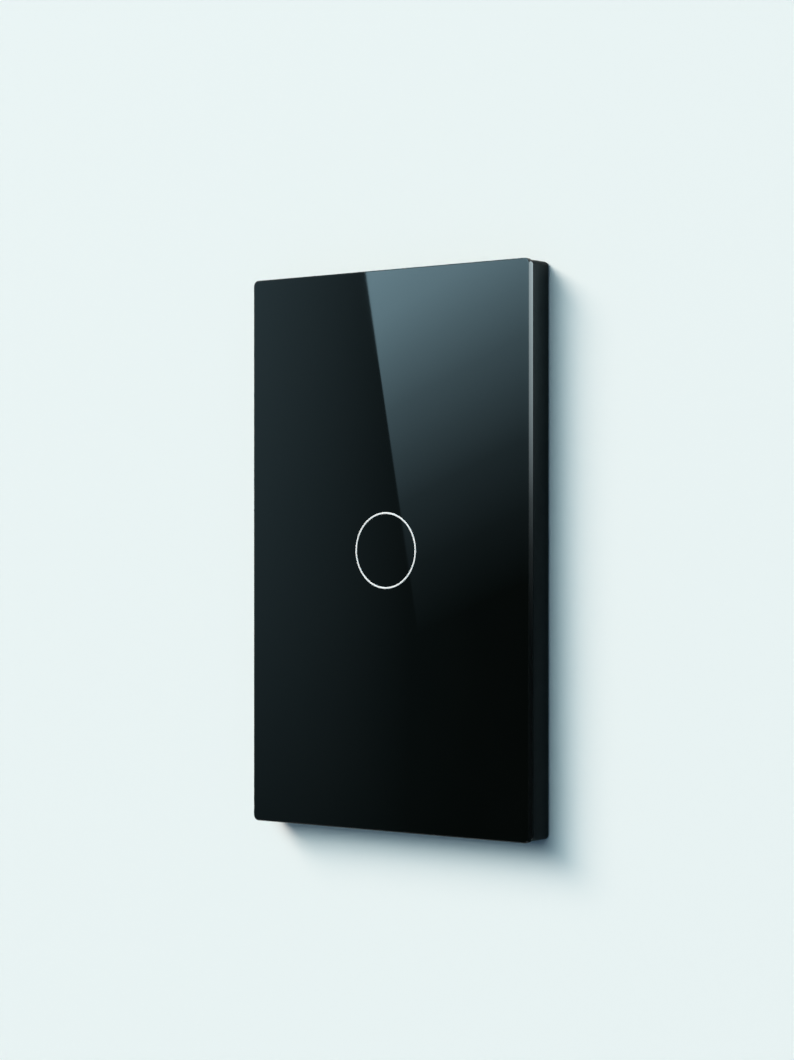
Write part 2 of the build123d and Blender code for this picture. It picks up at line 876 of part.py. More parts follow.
def relay_case():
    """The relay's cover, open towards the board."""
    y = (power_back + relay_case_lift, power_back + relay_height)
    case = round_edges(block(about(relay_x, relay_width), y, (row_b, row_b + relay_length)),
                       Axis.Y, relay_wall)
    inside = (y[0], y[1] - relay_wall)
    return case - block(about(relay_x, relay_width - 2 * relay_wall), inside,
                        (row_b + relay_wall, relay_inner_top))


def relay_pins():
    """The relay's pins through the board."""
    y = (power_front - lead_end, power_back)
    return Compound([rod(x, z, relay_pin_radius, y) for x, z in relay_pin_places()])


def relay_yoke():
    """Iron angle: a foot under the coil and a leg up to the armature."""
    x = about(relay_x, yoke_width)
    foot = block(x, (relay_inside, foot_back), (yoke_low, yoke_high))
    leg = block(x, (relay_inside, armature_front - yoke_gap), (yoke_low, yoke_low + yoke_thickness))
    return foot + leg


def relay_core():
    """The coil's iron core."""
    return rod(relay_x, coil_z, core_radius, (foot_back, pole_back))


def relay_bobbin():
    """Coil former: a tube with a square flange at each end."""
    flange = (bobbin_flange, bobbin_flange)
    ends = [(foot_back, foot_back + bobbin_flange_thickness),
            (bobbin_back - bobbin_flange_thickness, bobbin_back)]
    bobbin = rod(relay_x, coil_z, core_radius + bobbin_tube, (foot_back, bobbin_back))
    for y in ends:
        bobbin += slab(*flange, y, at=(relay_x, coil_z))
    return bobbin - rod(relay_x, coil_z, core_radius, (foot_back, bobbin_back))


def relay_winding():
    """The coil of fine wire, as the smooth sleeve that it looks like."""
    inner = core_radius + bobbin_tube
    y = (foot_back + bobbin_flange_thickness, bobbin_back - bobbin_flange_thickness)
    return tube(relay_x, coil_z, inner + winding_thickness, inner, y)


def relay_armature():
    """The plate that the coil pulls in, hinged on the yoke's end."""
    return block(about(relay_x, yoke_width), (armature_front, armature_back), (yoke_low, yoke_high))


def relay_contact_leaf():
    """Leaf spring on the armature, with the moving contact at its end."""
    leaf = block(about(relay_x, leaf_width), (armature_back, armature_back + leaf_thickness),
                 (coil_z, contact_z + contact_radius))
    return leaf + rod(relay_x, contact_z, contact_radius, (moving_contact_front, armature_back))


def relay_fixed_contact():
    """Strip from the base with the contact that the leaf closes on."""
    top = fixed_contact_back - contact_button
    x = about(relay_x, contact_strip_width)
    low = contact_z + contact_radius
    strip = block(x, (relay_inside, top), (low, low + contact_strip))
    strip += block(x, (top - contact_strip, top), (contact_z - contact_radius, low + contact_strip))
    return strip + rod(relay_x, contact_z, contact_radius, (top, fixed_contact_back))


def terminal_block():
    """Insulating block with a cell for each cage."""
    shell = block(about(0, block_width), (power_back, cavity_back), (block_bottom, block_top))
    for x in terminal_places:
        shell -= block(about(x, cell_width), (cell_front, block_back_wall), (cell_bottom, cell_top))
        shell -= block(about(x, entry_width), (wire_front, bar_front), (block_bottom, cell_bottom))
        shell -= rod(x, screw_z(), terminal_head_radius + terminal_head_play,
                     (block_back_wall, cavity_back))
        shell -= block(about(x, bar_width), (bar_front, bar_back), (cell_top, block_top))
    return shell


def current_bars():
    """Brass bars: through the cell, out of the block, then down to the board."""
    bars = []
    for x in terminal_places:
        bar = block(about(x, bar_width), (bar_front, bar_back), (cell_bottom, leg_top))
        bar += block(about(x, bar_width), (power_back, bar_back), (leg_bottom, leg_top))
        bar += rod(x, leg_bottom + bar_thickness / 2, leg_pin_radius, (power_front - lead_end, power_back))
        bars.append(bar.solid())
    return Compound(bars)


def terminal_cage(x):
    """The box clamp that rises on its screw and presses the wire to the bar."""
    z = about(screw_z(), cage_length)
    cage = block(about(x, cage_width), (cage_front, nut_back), z)
    cage -= block(about(x, cage_width - 2 * cage_side), (wire_front, nut_front), z)
    return cage - rod(x, screw_z(), terminal_screw_radius + screw_play, (nut_front, nut_back))


def terminal_screw(x):
    """The screw that turns in the cage, its tip on the bar."""
    z = screw_z()
    head = rod(x, z, terminal_head_radius, (screw_head_front, screw_head_back))
    head = chamfer(head.edges().sort_by(Axis.Y)[-1], terminal_head / 5)
    screw = head + rod(x, z, terminal_screw_radius, (bar_back, screw_head_front))
    recess = (screw_head_back - terminal_head / 2, screw_head_back)
    return screw - cross_recess(x, z, terminal_screw_radius, terminal_screw_radius / 2, recess)


pieces = {
    "glass_panel": glass_panel(),
    "touch_ring": ring_solid(),
    "panel_adhesive": panel_adhesive(),
    "panel_frame": panel_frame(),
    "panel_clips": panel_clips(),
    "base_frame": base_frame(),
    "mounting_plate": mounting_plate(),
    "screw_retainers": screw_retainers(),
    "mounting_screw_lower": mounting_screw(box_screw_places[0]),
    "mounting_screw_upper": mounting_screw(box_screw_places[1]),
    "clamp_screws": clamp_screws(),
    "rear_housing": rear_housing(),
    "touch_board": touch_board(),
    "light_guide": light_guide(),
    "status_lamps": status_lamps(),
    "touch_spring": touch_spring(),
    "touch_controller": touch_controller(),
    "touch_controller_leads": touch_controller_leads(),
    "radio_module": radio_module(),
    "radio_shield": radio_shield(),
    "board_header": board_header(),
    "header_pins": header_pin_row(),
    "power_board": power_board(),
    "board_screws": board_screws(),
    "component_leads": component_leads(),
    "surface_parts": surface_parts(),
    "film_capacitor": film_capacitor(),
    "transformer_base": transformer_base_part(),
    "transformer_core": transformer_core(),
    "transformer_winding": transformer_winding(),
    "filter_capacitors": filter_capacitors(),
    "varistor": varistor(),
    "fuse": fuse(),
    "rectifier": rectifier(),
    "relay_base": relay_base_part(),
    "relay_case": relay_case(),
    "relay_pins": relay_pins(),
    "relay_yoke": relay_yoke(),
    "relay_core": relay_core(),
    "relay_bobbin": relay_bobbin(),
    "relay_winding": relay_winding(),
    "relay_armature": relay_armature(),
    "relay_contact_leaf": relay_contact_leaf(),
    "relay_fixed_contact": relay_fixed_contact(),
    "terminal_block": terminal_block(),
    "current_bars": current_bars(),
}
for number, place in enumerate(terminal_places, start=1):
    pieces[f"terminal_clamp_{number}"] = terminal_cage(place)
    pieces[f"terminal_screw_{number}"] = terminal_screw(place)

for name, shape in pieces.items():
    export_step(shape, f"parts/{name}.step")
print(len(pieces), "parts written")
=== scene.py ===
# %% [markdown]
# # A touch light switch with a black glass front
# The part is a light switch for a single wall box. A sheet of black glass sits on a thin black
# frame, and a fired enamel ring marks where it is touched. Behind it are a base with the touch
# board, a steel plate on the wall, and a box in the wall with a relay, its supply and three
# screw terminals.
#
# The CAD model comes in first as a fixed frame. Every piece made here sits where the CAD says.

# %% The frame
import json
import math

import bmesh
import bpy
import mathutils
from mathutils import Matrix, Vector

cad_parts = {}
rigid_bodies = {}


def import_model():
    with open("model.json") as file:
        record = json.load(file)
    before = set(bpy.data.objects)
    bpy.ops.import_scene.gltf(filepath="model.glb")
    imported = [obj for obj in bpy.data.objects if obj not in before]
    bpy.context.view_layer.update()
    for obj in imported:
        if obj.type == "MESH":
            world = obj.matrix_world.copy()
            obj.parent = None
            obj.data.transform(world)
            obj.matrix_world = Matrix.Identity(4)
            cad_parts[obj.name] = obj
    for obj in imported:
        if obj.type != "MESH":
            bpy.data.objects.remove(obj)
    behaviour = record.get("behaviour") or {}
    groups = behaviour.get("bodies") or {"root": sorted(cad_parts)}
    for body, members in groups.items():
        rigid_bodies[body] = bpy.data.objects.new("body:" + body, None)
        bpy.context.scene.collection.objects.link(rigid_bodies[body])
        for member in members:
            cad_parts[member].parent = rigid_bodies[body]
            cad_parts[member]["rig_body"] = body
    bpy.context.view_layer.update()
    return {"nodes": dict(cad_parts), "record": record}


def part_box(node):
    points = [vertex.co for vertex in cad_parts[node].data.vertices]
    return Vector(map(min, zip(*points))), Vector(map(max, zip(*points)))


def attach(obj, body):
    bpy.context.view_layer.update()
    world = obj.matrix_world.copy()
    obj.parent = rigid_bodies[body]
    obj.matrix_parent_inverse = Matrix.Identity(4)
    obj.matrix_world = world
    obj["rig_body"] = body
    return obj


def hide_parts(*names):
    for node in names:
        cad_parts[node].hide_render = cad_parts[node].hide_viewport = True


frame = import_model()
scene = bpy.context.scene
scene.view_settings.view_transform = "Standard"
MM = 0.001

# %% [markdown]
# ## The camera
# The photograph is taken level, from about 38 degrees to the right of straight on, with a long
# lens. The lens could be guessed, but the panel's top and bottom edges run to a vanishing point,
# and that point and the ring's ellipse fix the lens and the place together. The panel stands a
# little off the picture's middle. The lens is shifted for that, because a camera turned up or
# down would make the upright edges lean.

# %% Camera
camera_data = bpy.data.cameras.new("photo_camera")
camera_data.sensor_width = 36.0
camera_data.lens = 85.79
camera_data.shift_x = 0.0012
camera_data.shift_y = 0.02025
camera_data.clip_start = 0.01
camera = bpy.data.objects.new("photo_camera", camera_data)
camera.location = (0.3331, -0.4320, -0.0002)
camera.rotation_euler = (math.radians(90), 0, math.radians(37.9))
scene.collection.objects.link(camera)
scene.camera = camera
print("camera", round(camera.location.length, 3), "m from the ring's wall point")

# %% [markdown]
# ## Nodes for finishes
# Every finish below is built from nodes in metres, so grain and scratches keep their real size.
# An image would be simpler to paint, but nodes stay sharp at any distance and need no unwrapping.
# A few small helpers keep each finish to a handful of lines.

# %% Node helpers
def new_finish(name, colour, roughness, metallic=0.0):
    """A material with its principled shader set to plain values."""
    material = bpy.data.materials.new(name)
    material.use_nodes = True
    shader = material.node_tree.nodes["Principled BSDF"]
    shader.inputs["Base Color"].default_value = (*colour, 1.0)
    shader.inputs["Roughness"].default_value = roughness
    shader.inputs["Metallic"].default_value = metallic
    return material


def add_node(material, kind, **values):
    """A node with some of its inputs or settings filled in."""
    node = material.node_tree.nodes.new(kind)
    for name, value in values.items():
        label = name.replace("_", " ")
        if label in node.inputs:
            node.inputs[label].default_value = value
        else:
            setattr(node, name, value)
    return node


def wire(material, source, target):
    """A link from an output to an input."""
    material.node_tree.links.new(source, target)


def place(material, stretch=(1, 1, 1)):
    """The point on the piece in metres, stretched along the axes."""
    point = add_node(material, "ShaderNodeTexCoord")
    mapping = add_node(material, "ShaderNodeMapping", Scale=stretch)
    wire(material, point.outputs["Object"], mapping.inputs["Vector"])
    return mapping.outputs["Vector"]


def noise(material, size_mm, detail=3.0, stretch=(1, 1, 1), kind="ShaderNodeTexNoise"):
    """Noise whose blotches are about this size."""
    node = add_node(material, kind, Scale=1000.0 / size_mm)
    if kind == "ShaderNodeTexNoise":
        node.inputs["Detail"].default_value = detail
    wire(material, place(material, stretch), node.inputs["Vector"])
    return node.outputs[0]


def spread(material, value, low, high, start=0.35, end=0.65):
    """A value from 0 to 1 spread over a new range."""
    node = add_node(material, "ShaderNodeMapRange")
    for name, number in (("From Min", start), ("From Max", end), ("To Min", low), ("To Max", high)):
        node.inputs[name].default_value = number
    wire(material, value, node.inputs["Value"])
    return node.outputs["Result"]


def wander(material, size_mm):
    """A value that drifts between 0 and 1, in blotches of about this size."""
    return spread(material, noise(material, size_mm), 0.0, 1.0)


def blend_colours(material, factor, dark, light):
    """A colour between two, by a factor."""
    node = add_node(material, "ShaderNodeMix", data_type="RGBA")
    # a colour mix has its own pair of sockets, after those for numbers and vectors
    node.inputs[6].default_value = (*dark, 1.0)
    node.inputs[7].default_value = (*light, 1.0)
    wire(material, factor, node.inputs[0])
    return node.outputs[2]


def shader_of(material):
    return material.node_tree.nodes["Principled BSDF"]


def paint(material, factor, dark, light):
    """The colour wanders between two tones."""
    colour = blend_colours(material, factor, dark, light)
    wire(material, colour, shader_of(material).inputs["Base Color"])


def gloss(material, value, low, high):
    """The roughness wanders between two values."""
    wire(material, spread(material, value, low, high), shader_of(material).inputs["Roughness"])


def relief(material, value, depth_mm, strength=1.0):
    """A fine relief of this depth."""
    bump = add_node(material, "ShaderNodeBump", Strength=strength)
    bump.inputs["Distance"].default_value = depth_mm * MM
    wire(material, value, bump.inputs["Height"])
    wire(material, bump.outputs["Normal"], shader_of(material).inputs["Normal"])


print("node helpers ready")

# %% [markdown]
# ## Moulded plastics
# The frame, base, housing and the small parts' cases are moulded. A moulded face is never one
# flat tone: it has a fine eroded grain from the mould, a slow drift in gloss, and tiny dust. A
# Noise node at the grain's size gives the relief, and a wider one gives the drift.

# %% Plastic finishes
def moulded(name, dark, light, grain_mm, depth_mm, low, high):
    material = new_finish(name, light, (low + high) / 2)
    paint(material, wander(material, grain_mm * 12), dark, light)
    gloss(material, noise(material, grain_mm * 30), low, high)
    relief(material, noise(material, grain_mm, 4.0), depth_mm, 0.6)
    return material


plastics = {
    "black_frame": moulded("frame_black", (0.0070, 0.0105, 0.0110), (0.0085, 0.0125, 0.0130),
                           0.25, 0.004, 0.40, 0.50),
    "black_base": moulded("base_black", (0.0105, 0.0115, 0.0122), (0.0130, 0.0140, 0.0147),
                          0.35, 0.010, 0.48, 0.56),
    "grey_housing": moulded("housing_grey", (0.555, 0.565, 0.555), (0.575, 0.585, 0.575),
                            0.40, 0.012, 0.47, 0.53),
    "natural_nylon": moulded("nylon_natural", (0.62, 0.59, 0.50), (0.74, 0.71, 0.63),
                             0.30, 0.006, 0.34, 0.46),
    "black_epoxy": moulded("epoxy_black", (0.014, 0.014, 0.015), (0.024, 0.024, 0.026),
                           0.08, 0.004, 0.45, 0.62),
    "yellow_film": moulded("film_box_yellow", (0.62, 0.42, 0.04), (0.74, 0.53, 0.07),
                           0.30, 0.004, 0.26, 0.36),
    "white_fuse": moulded("fuse_box_cream", (0.56, 0.53, 0.44), (0.68, 0.65, 0.56),
                          0.30, 0.006, 0.38, 0.50),
    "relay_blue": moulded("relay_case_blue", (0.020, 0.070, 0.26), (0.030, 0.095, 0.33),
                          0.30, 0.004, 0.22, 0.32),
    "terminal_green": moulded("terminal_dark", (0.020, 0.026, 0.026), (0.034, 0.042, 0.042),
                              0.35, 0.008, 0.42, 0.55),
    "brown_part": moulded("chip_part_brown", (0.12, 0.065, 0.035), (0.22, 0.13, 0.075),
                          0.12, 0.004, 0.40, 0.60),
    "blue_varistor": moulded("varistor_blue", (0.012, 0.055, 0.27), (0.022, 0.085, 0.36),
                             0.60, 0.030, 0.20, 0.34),
    "ferrite": moulded("ferrite_grey", (0.030, 0.030, 0.033), (0.060, 0.060, 0.066),
                       0.15, 0.012, 0.50, 0.70),
    "black_foam": moulded("foam_tape_black", (0.006, 0.006, 0.006), (0.016, 0.016, 0.016),
                          0.20, 0.040, 0.85, 0.98),
    "can_aluminium": moulded("can_sleeve_dark", (0.008, 0.010, 0.018), (0.014, 0.016, 0.028),
                             0.50, 0.003, 0.18, 0.30),
}
shader_of(plastics["black_frame"]).inputs["Specular IOR Level"].default_value = 0.045
print("plastics:", len(plastics))

# %% [markdown]
# ## Metals
# Rolled strip, plated screws and stamped brass all show a direction: fine lines from rolling or
# turning. Stretching a Noise node along one axis gives those lines. Zinc plate is different: its
# crystals meet in flat patches, and a Voronoi node gives just such patches.

# %% Metal finishes
def rolled(name, dark, light, line_mm, along, low, high, depth_mm=0.002):
    material = new_finish(name, light, (low + high) / 2, 1.0)
    lines = noise(material, line_mm, 2.0, along)
    paint(material, spread(material, lines, 0.0, 1.0), dark, light)
    gloss(material, noise(material, line_mm * 20), low, high)
    relief(material, lines, depth_mm, 0.5)
    return material


def spangled(name, dark, light, patch_mm, low, high):
    material = new_finish(name, light, (low + high) / 2, 1.0)
    patches = noise(material, patch_mm, kind="ShaderNodeTexVoronoi")
    cells = add_node(material, "ShaderNodeTexVoronoi", Scale=1000.0 / patch_mm)
    wire(material, place(material), cells.inputs["Vector"])
    tone = add_node(material, "ShaderNodeSeparateColor")
    wire(material, cells.outputs["Color"], tone.inputs["Color"])
    paint(material, tone.outputs["Red"], dark, light)
    wire(material, spread(material, tone.outputs["Green"], low, high, 0.0, 1.0),
         shader_of(material).inputs["Roughness"])
    relief(material, patches, 0.004, 0.3)
    return material


ALL_WAYS = (1, 1, 1)
ALONG_X = (0.04, 1, 1)
ALONG_Y = (1, 0.04, 1)
ALONG_Z = (1, 1, 0.04)
metals = {
    "spring_steel": rolled("spring_steel", (0.42, 0.42, 0.41), (0.60, 0.60, 0.58),
                           0.15, ALONG_Z, 0.22, 0.34),
    "galvanised_steel": spangled("zinc_plate", (0.56, 0.58, 0.60), (0.66, 0.68, 0.70),
                                 3.0, 0.32, 0.44),
    "zinc_screw": rolled("screw_zinc", (0.56, 0.57, 0.58), (0.72, 0.73, 0.74),
                         0.12, ALL_WAYS, 0.20, 0.32),
    "plated_spring": rolled("spring_plated", (0.60, 0.58, 0.53), (0.76, 0.74, 0.69),
                            0.10, ALONG_Y, 0.14, 0.24),
    "tinned_lead": rolled("lead_tinned", (0.58, 0.58, 0.57), (0.74, 0.74, 0.73),
                          0.15, ALL_WAYS, 0.24, 0.40),
    "shield_steel": rolled("shield_steel", (0.56, 0.56, 0.53), (0.70, 0.70, 0.67),
                           0.10, ALONG_X, 0.26, 0.36),
    "relay_iron": rolled("relay_iron", (0.42, 0.42, 0.41), (0.56, 0.56, 0.54),
                         0.15, ALONG_Y, 0.28, 0.42),
    "coil_copper": rolled("coil_copper", (0.50, 0.20, 0.08), (0.68, 0.32, 0.14),
                          0.12, ALONG_X, 0.24, 0.36),
    "brass_bar": rolled("bar_brass", (0.58, 0.42, 0.16), (0.74, 0.57, 0.26),
                        0.15, ALONG_Z, 0.22, 0.36),
    "nickel_cage": rolled("cage_nickel", (0.60, 0.58, 0.52), (0.74, 0.72, 0.66),
                          0.15, ALONG_Z, 0.20, 0.34),
}
print("metals:", len(metals))

# %% [markdown]
# ## Boards, lamps and guide
# A board's solder resist is a thin clear lacquer over copper: a coat on the shader gives its wet
# look. The runs of copper show through as long straight lines side by side, and a Brick node with
# very long bricks draws just that. The lines show in some places only, as a slow noise allows. The
# lamp is a small yellow lens, and the guide is frosted acrylic that passes light.

# %% Board finishes
def board(name, resist, copper_run):
    material = new_finish(name, resist, 0.35)
    runs = add_node(material, "ShaderNodeTexBrick", Scale=1000.0, offset=0.37,
                    Brick_Width=13.0, Row_Height=0.9, Mortar_Size=0.16,
                    Color1=(1, 1, 1, 1), Color2=(0.6, 0.6, 0.6, 1), Mortar=(0, 0, 0, 1))
    # the bricks are drawn flat, so they are turned to stand with the board
    quarter = math.radians(90)
    turned = add_node(material, "ShaderNodeMapping", Rotation=(quarter, 0, quarter))
    wire(material, place(material), turned.inputs["Vector"])
    wire(material, turned.outputs["Vector"], runs.inputs["Vector"])
    some_places = spread(material, noise(material, 9.0, 0.0), 0.0, 1.0, 0.48, 0.54)
    shown = add_node(material, "ShaderNodeMath", operation="MULTIPLY")
    wire(material, runs.outputs["Color"], shown.inputs[0])
    wire(material, some_places, shown.inputs[1])
    paint(material, shown.outputs[0], resist, copper_run)
    gloss(material, noise(material, 3.0), 0.26, 0.38)
    relief(material, shown.outputs[0], 0.02, 0.5)
    shader_of(material).inputs["Coat Weight"].default_value = 0.4
    shader_of(material).inputs["Coat Roughness"].default_value = 0.15
    return material


def lens(name, tint, low, high):
    material = new_finish(name, tint, low)
    paint(material, wander(material, 1.5), tint, tuple(c * 0.95 for c in tint))
    gloss(material, noise(material, 1.0), low, high)
    return material


boards = {
    "green_board": board("resist_green", (0.013, 0.088, 0.032), (0.022, 0.115, 0.045)),
    "black_board": board("resist_black", (0.010, 0.012, 0.012), (0.015, 0.017, 0.016)),
    "blue_board": board("resist_blue", (0.008, 0.030, 0.12), (0.020, 0.060, 0.19)),
    "lamp_white": lens("lamp_lens", (0.86, 0.80, 0.50), 0.15, 0.25),
    "clear_guide": lens("guide_frosted", (0.86, 0.90, 0.92), 0.30, 0.45),
    "winding_tape": lens("tape_yellow", (0.70, 0.50, 0.06), 0.22, 0.34),
}
shader_of(boards["clear_guide"]).inputs["Transmission Weight"].default_value = 0.7
print("boards and lenses:", len(boards))

# %% [markdown]
# ## Glass and enamel
# The front is soda glass, black behind and polished in front, so all of its tone is reflection.
# The edge is ground and then polished, which leaves it a little less clear. The ring is white
# enamel fired into the glass.

# %% Glass finishes
glass_front = new_finish("glass_polished", (0.0015, 0.0024, 0.0021), 0.02)
gloss(glass_front, noise(glass_front, 25.0), 0.010, 0.018)
paint(glass_front, wander(glass_front, 30.0), (0.0013, 0.0022, 0.0019), (0.0017, 0.0026, 0.0023))

glass_edge = new_finish("glass_ground_edge", (0.0020, 0.0034, 0.0032), 0.12)
paint(glass_edge, wander(glass_edge, 0.8), (0.0018, 0.0030, 0.0028), (0.0026, 0.0042, 0.0040))
gloss(glass_edge, noise(glass_edge, 0.5), 0.04, 0.07)
relief(glass_edge, noise(glass_edge, 0.3, 2.0, (1, 1, 0.1)), 0.0006, 0.3)

glass_back = new_finish("glass_back_print", (0.006, 0.007, 0.007), 0.5)
paint(glass_back, wander(glass_back, 2.0), (0.005, 0.006, 0.006), (0.009, 0.010, 0.010))
gloss(glass_back, noise(glass_back, 1.2), 0.38, 0.55)

ring_enamel = new_finish("ring_enamel", (0.86, 0.90, 0.90), 0.3)
paint(ring_enamel, wander(ring_enamel, 0.3), (0.80, 0.85, 0.85), (0.90, 0.93, 0.93))
gloss(ring_enamel, noise(ring_enamel, 0.5), 0.22, 0.35)
print("glass finishes ready")

# %% [markdown]
# ## Carried-over CAD nodes
# Most of the parts inside are right as the CAD made them and need only their finish. The record
# names each node's material slot, so one loop gives every node its finish.

# %% Finishes on the CAD nodes
finishes = {**plastics, **metals, **boards, "black_glass": glass_front, "white_enamel": ring_enamel}
slot_of = {part["node"]: part["material_slot"] for part in frame["record"]["subparts"]}
for node, slot in slot_of.items():
    data = frame["nodes"][node].data
    data.materials.clear()
    data.materials.append(finishes[slot])
print("nodes with a finish:", len(slot_of))

# %% [markdown]
# ## Mesh helpers
# A flat part with rounded corners is a stack of loops: each loop is the same outline, moved in
# depth and drawn in by a little, and the loops are joined by bands of faces. A Bevel modifier on
# a box gives something like it, but the stack keeps the exact outline and a clean band per edge.

# %% Loops and bands
def rounded_outline(width, height, corner, steps=10):
    """Points of a rectangle with round corners, counter-clockwise."""
    points = []
    for i, (sx, sz) in enumerate(((1, 1), (-1, 1), (-1, -1), (1, -1))):
        middle = (sx * (width / 2 - corner), sz * (height / 2 - corner))
        for step in range(steps + 1):
            angle = math.radians(90) * (i + step / steps)
            points.append((middle[0] + corner * math.cos(angle),
                           middle[1] + corner * math.sin(angle)))
    return points


def circle_outline(radius, steps, middle=(0.0, 0.0)):
    """Points of a circle, counter-clockwise."""
    turn = 2 * math.pi / steps
    return [(middle[0] + radius * math.cos(i * turn), middle[1] + radius * math.sin(i * turn))
            for i in range(steps)]


def add_loop(mesh, outline, y):
    """A closed loop of vertices at one depth."""
    return [mesh.verts.new((x, y, z)) for x, z in outline]


def add_band(mesh, first, second, material=0):
    """Faces between two loops of equal length."""
    count = len(first)
    for i in range(count):
        j = (i + 1) % count
        face = mesh.faces.new((first[i], first[j], second[j], second[i]))
        face.material_index = material


def add_bands(mesh, loops, material=0, closed=False):
    """Bands from each loop to the next, and from the last to the first if closed."""
    for first, second in zip(loops, loops[1:] + (loops[:1] if closed else [])):
        add_band(mesh, first, second, material)


def loop_edges(mesh, loop):
    """The edges round a loop, made where no band has made them yet."""
    pairs = zip(loop, loop[1:] + loop[:1])
    return [mesh.edges.get(pair) or mesh.edges.new(pair) for pair in pairs]


def fill_flat(mesh, loops, material=0):
    """A flat face within the first loop, with the other loops left open."""
    edges = [edge for loop in loops for edge in loop_edges(mesh, loop)]
    filled = bmesh.ops.triangle_fill(mesh, use_beauty=True, edges=edges)
    for part in filled["geom"]:
        if isinstance(part, bmesh.types.BMFace):
            part.material_index = material


def finish_mesh(name, mesh, body, materials, smooth_deg=35, flat=()):
    """A piece from a bmesh: outward faces, soft shading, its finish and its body.
    Faces whose finish is in flat keep their own plane's shading."""
    bmesh.ops.recalc_face_normals(mesh, faces=mesh.faces)
    data = bpy.data.meshes.new(name)
    mesh.to_mesh(data)
    mesh.free()
    for material in materials:
        data.materials.append(material)
    data.set_sharp_from_angle(angle=math.radians(smooth_deg))
    for polygon in data.polygons:
        polygon.use_smooth = polygon.material_index not in flat
    piece = bpy.data.objects.new(name, data)
    scene.collection.objects.link(piece)
    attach(piece, body)
    return piece


print("mesh helpers ready")

# %% [markdown]
# ## The glass panel
# The sheet has a polished front, a ground edge and a black print behind, and the enamel ring lies
# in a shallow groove. One mesh with three finishes keeps the edges between them sharp. The groove
# is real, because a ring laid on top would flicker against the glass.

# %% Glass panel
low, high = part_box("glass_panel")
ring_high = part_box("touch_ring")[1]
PANEL = (high.x - low.x, high.z - low.z)
GLASS = (low.y, high.y)
CORNER = 1.3 * MM
ARRIS = 0.2 * MM
RING_LINE = 0.4 * MM
RING_OUTER = ring_high.x
RING_INNER = RING_OUTER - RING_LINE
RING_FLOOR = ring_high.y
RING_STEPS = 160


def panel_outline(inset):
    return rounded_outline(PANEL[0] - 2 * inset, PANEL[1] - 2 * inset, CORNER - inset)


def glass_mesh():
    mesh = bmesh.new()
    stack = [(ARRIS, GLASS[0]), (ARRIS * 0.3, GLASS[0] + ARRIS * 0.3), (0.0, GLASS[0] + ARRIS),
             (0.0, GLASS[1] - ARRIS), (ARRIS, GLASS[1])]
    loops = [add_loop(mesh, panel_outline(inset), y) for inset, y in stack]
    add_bands(mesh, loops, 1)
    groove = [add_loop(mesh, circle_outline(radius, RING_STEPS), y)
              for radius, y in ((RING_OUTER, GLASS[0]), (RING_OUTER, RING_FLOOR),
                                (RING_INNER, RING_FLOOR), (RING_INNER, GLASS[0]))]
    add_bands(mesh, groove)
    fill_flat(mesh, [loops[0], groove[0]], 0)
    fill_flat(mesh, [groove[3]], 0)
    fill_flat(mesh, [loops[-1]], 2)
    return mesh


glass = finish_mesh("front_glass", glass_mesh(), "front_panel",
                    [glass_front, glass_edge, glass_back], 30, flat=(0, 2))
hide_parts("glass_panel")
print("glass faces:", len(glass.data.polygons))

# %% [markdown]
# ## The enamel ring
# Fired enamel stands level with the glass and is a little rounded at both sides, where it drew
# back in the kiln. A torus would be too round, so the ring is four loops with small edges.

# %% Enamel ring
def ring_mesh():
    mesh = bmesh.new()
    edge = 0.04 * MM
    front = GLASS[0]
    profile = [(RING_OUTER, RING_FLOOR), (RING_OUTER, front + edge), (RING_OUTER - edge, front),
               (RING_INNER + edge, front), (RING_INNER, front + edge), (RING_INNER, RING_FLOOR)]
    loops = [add_loop(mesh, circle_outline(radius, RING_STEPS), y) for radius, y in profile]
    add_bands(mesh, loops, closed=True)
    return mesh


ring = finish_mesh("enamel_ring", ring_mesh(), "front_panel", [ring_enamel], 50)
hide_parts("touch_ring")
print("ring", round(2 * RING_OUTER / MM, 1), "mm across")

# %% [markdown]
# ## Softened edges
# No moulded or stamped edge is knife sharp, and the thin line of light along it is what makes a
# part look real. The CAD mesh could be bevelled as it is, but its flat faces are cut in
# triangles. So the copy is first joined and its flat faces made whole, then its sharp edges are
# rounded, and the shading is weighted by face size so that flats stay flat.

# %% Softening helper
WELD = 0.0005 * MM
FLAT_DEG = 0.4


def softened(node, name, width_mm, material, steps=2, sharp_deg=32):
    """A piece that stands for a CAD node, with its sharp edges rounded."""
    mesh = bmesh.new()
    mesh.from_mesh(frame["nodes"][node].data)
    bmesh.ops.remove_doubles(mesh, verts=mesh.verts, dist=WELD)
    bmesh.ops.dissolve_limit(mesh, angle_limit=math.radians(FLAT_DEG),
                             verts=mesh.verts, edges=mesh.edges)
    sharp = [edge for edge in mesh.edges
             if len(edge.link_faces) == 2 and edge.calc_face_angle(0.0) > math.radians(sharp_deg)]
    bmesh.ops.bevel(mesh, geom=sharp, offset=width_mm * MM, offset_type="OFFSET", segments=steps,
                    profile=0.5, affect="EDGES", clamp_overlap=True)
    body = frame["nodes"][node]["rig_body"]
    piece = finish_mesh(name, mesh, body, [material], 60)
    weighted = piece.modifiers.new("weighted_normals", "WEIGHTED_NORMAL")
    weighted.keep_sharp = True
    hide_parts(node)
    return piece


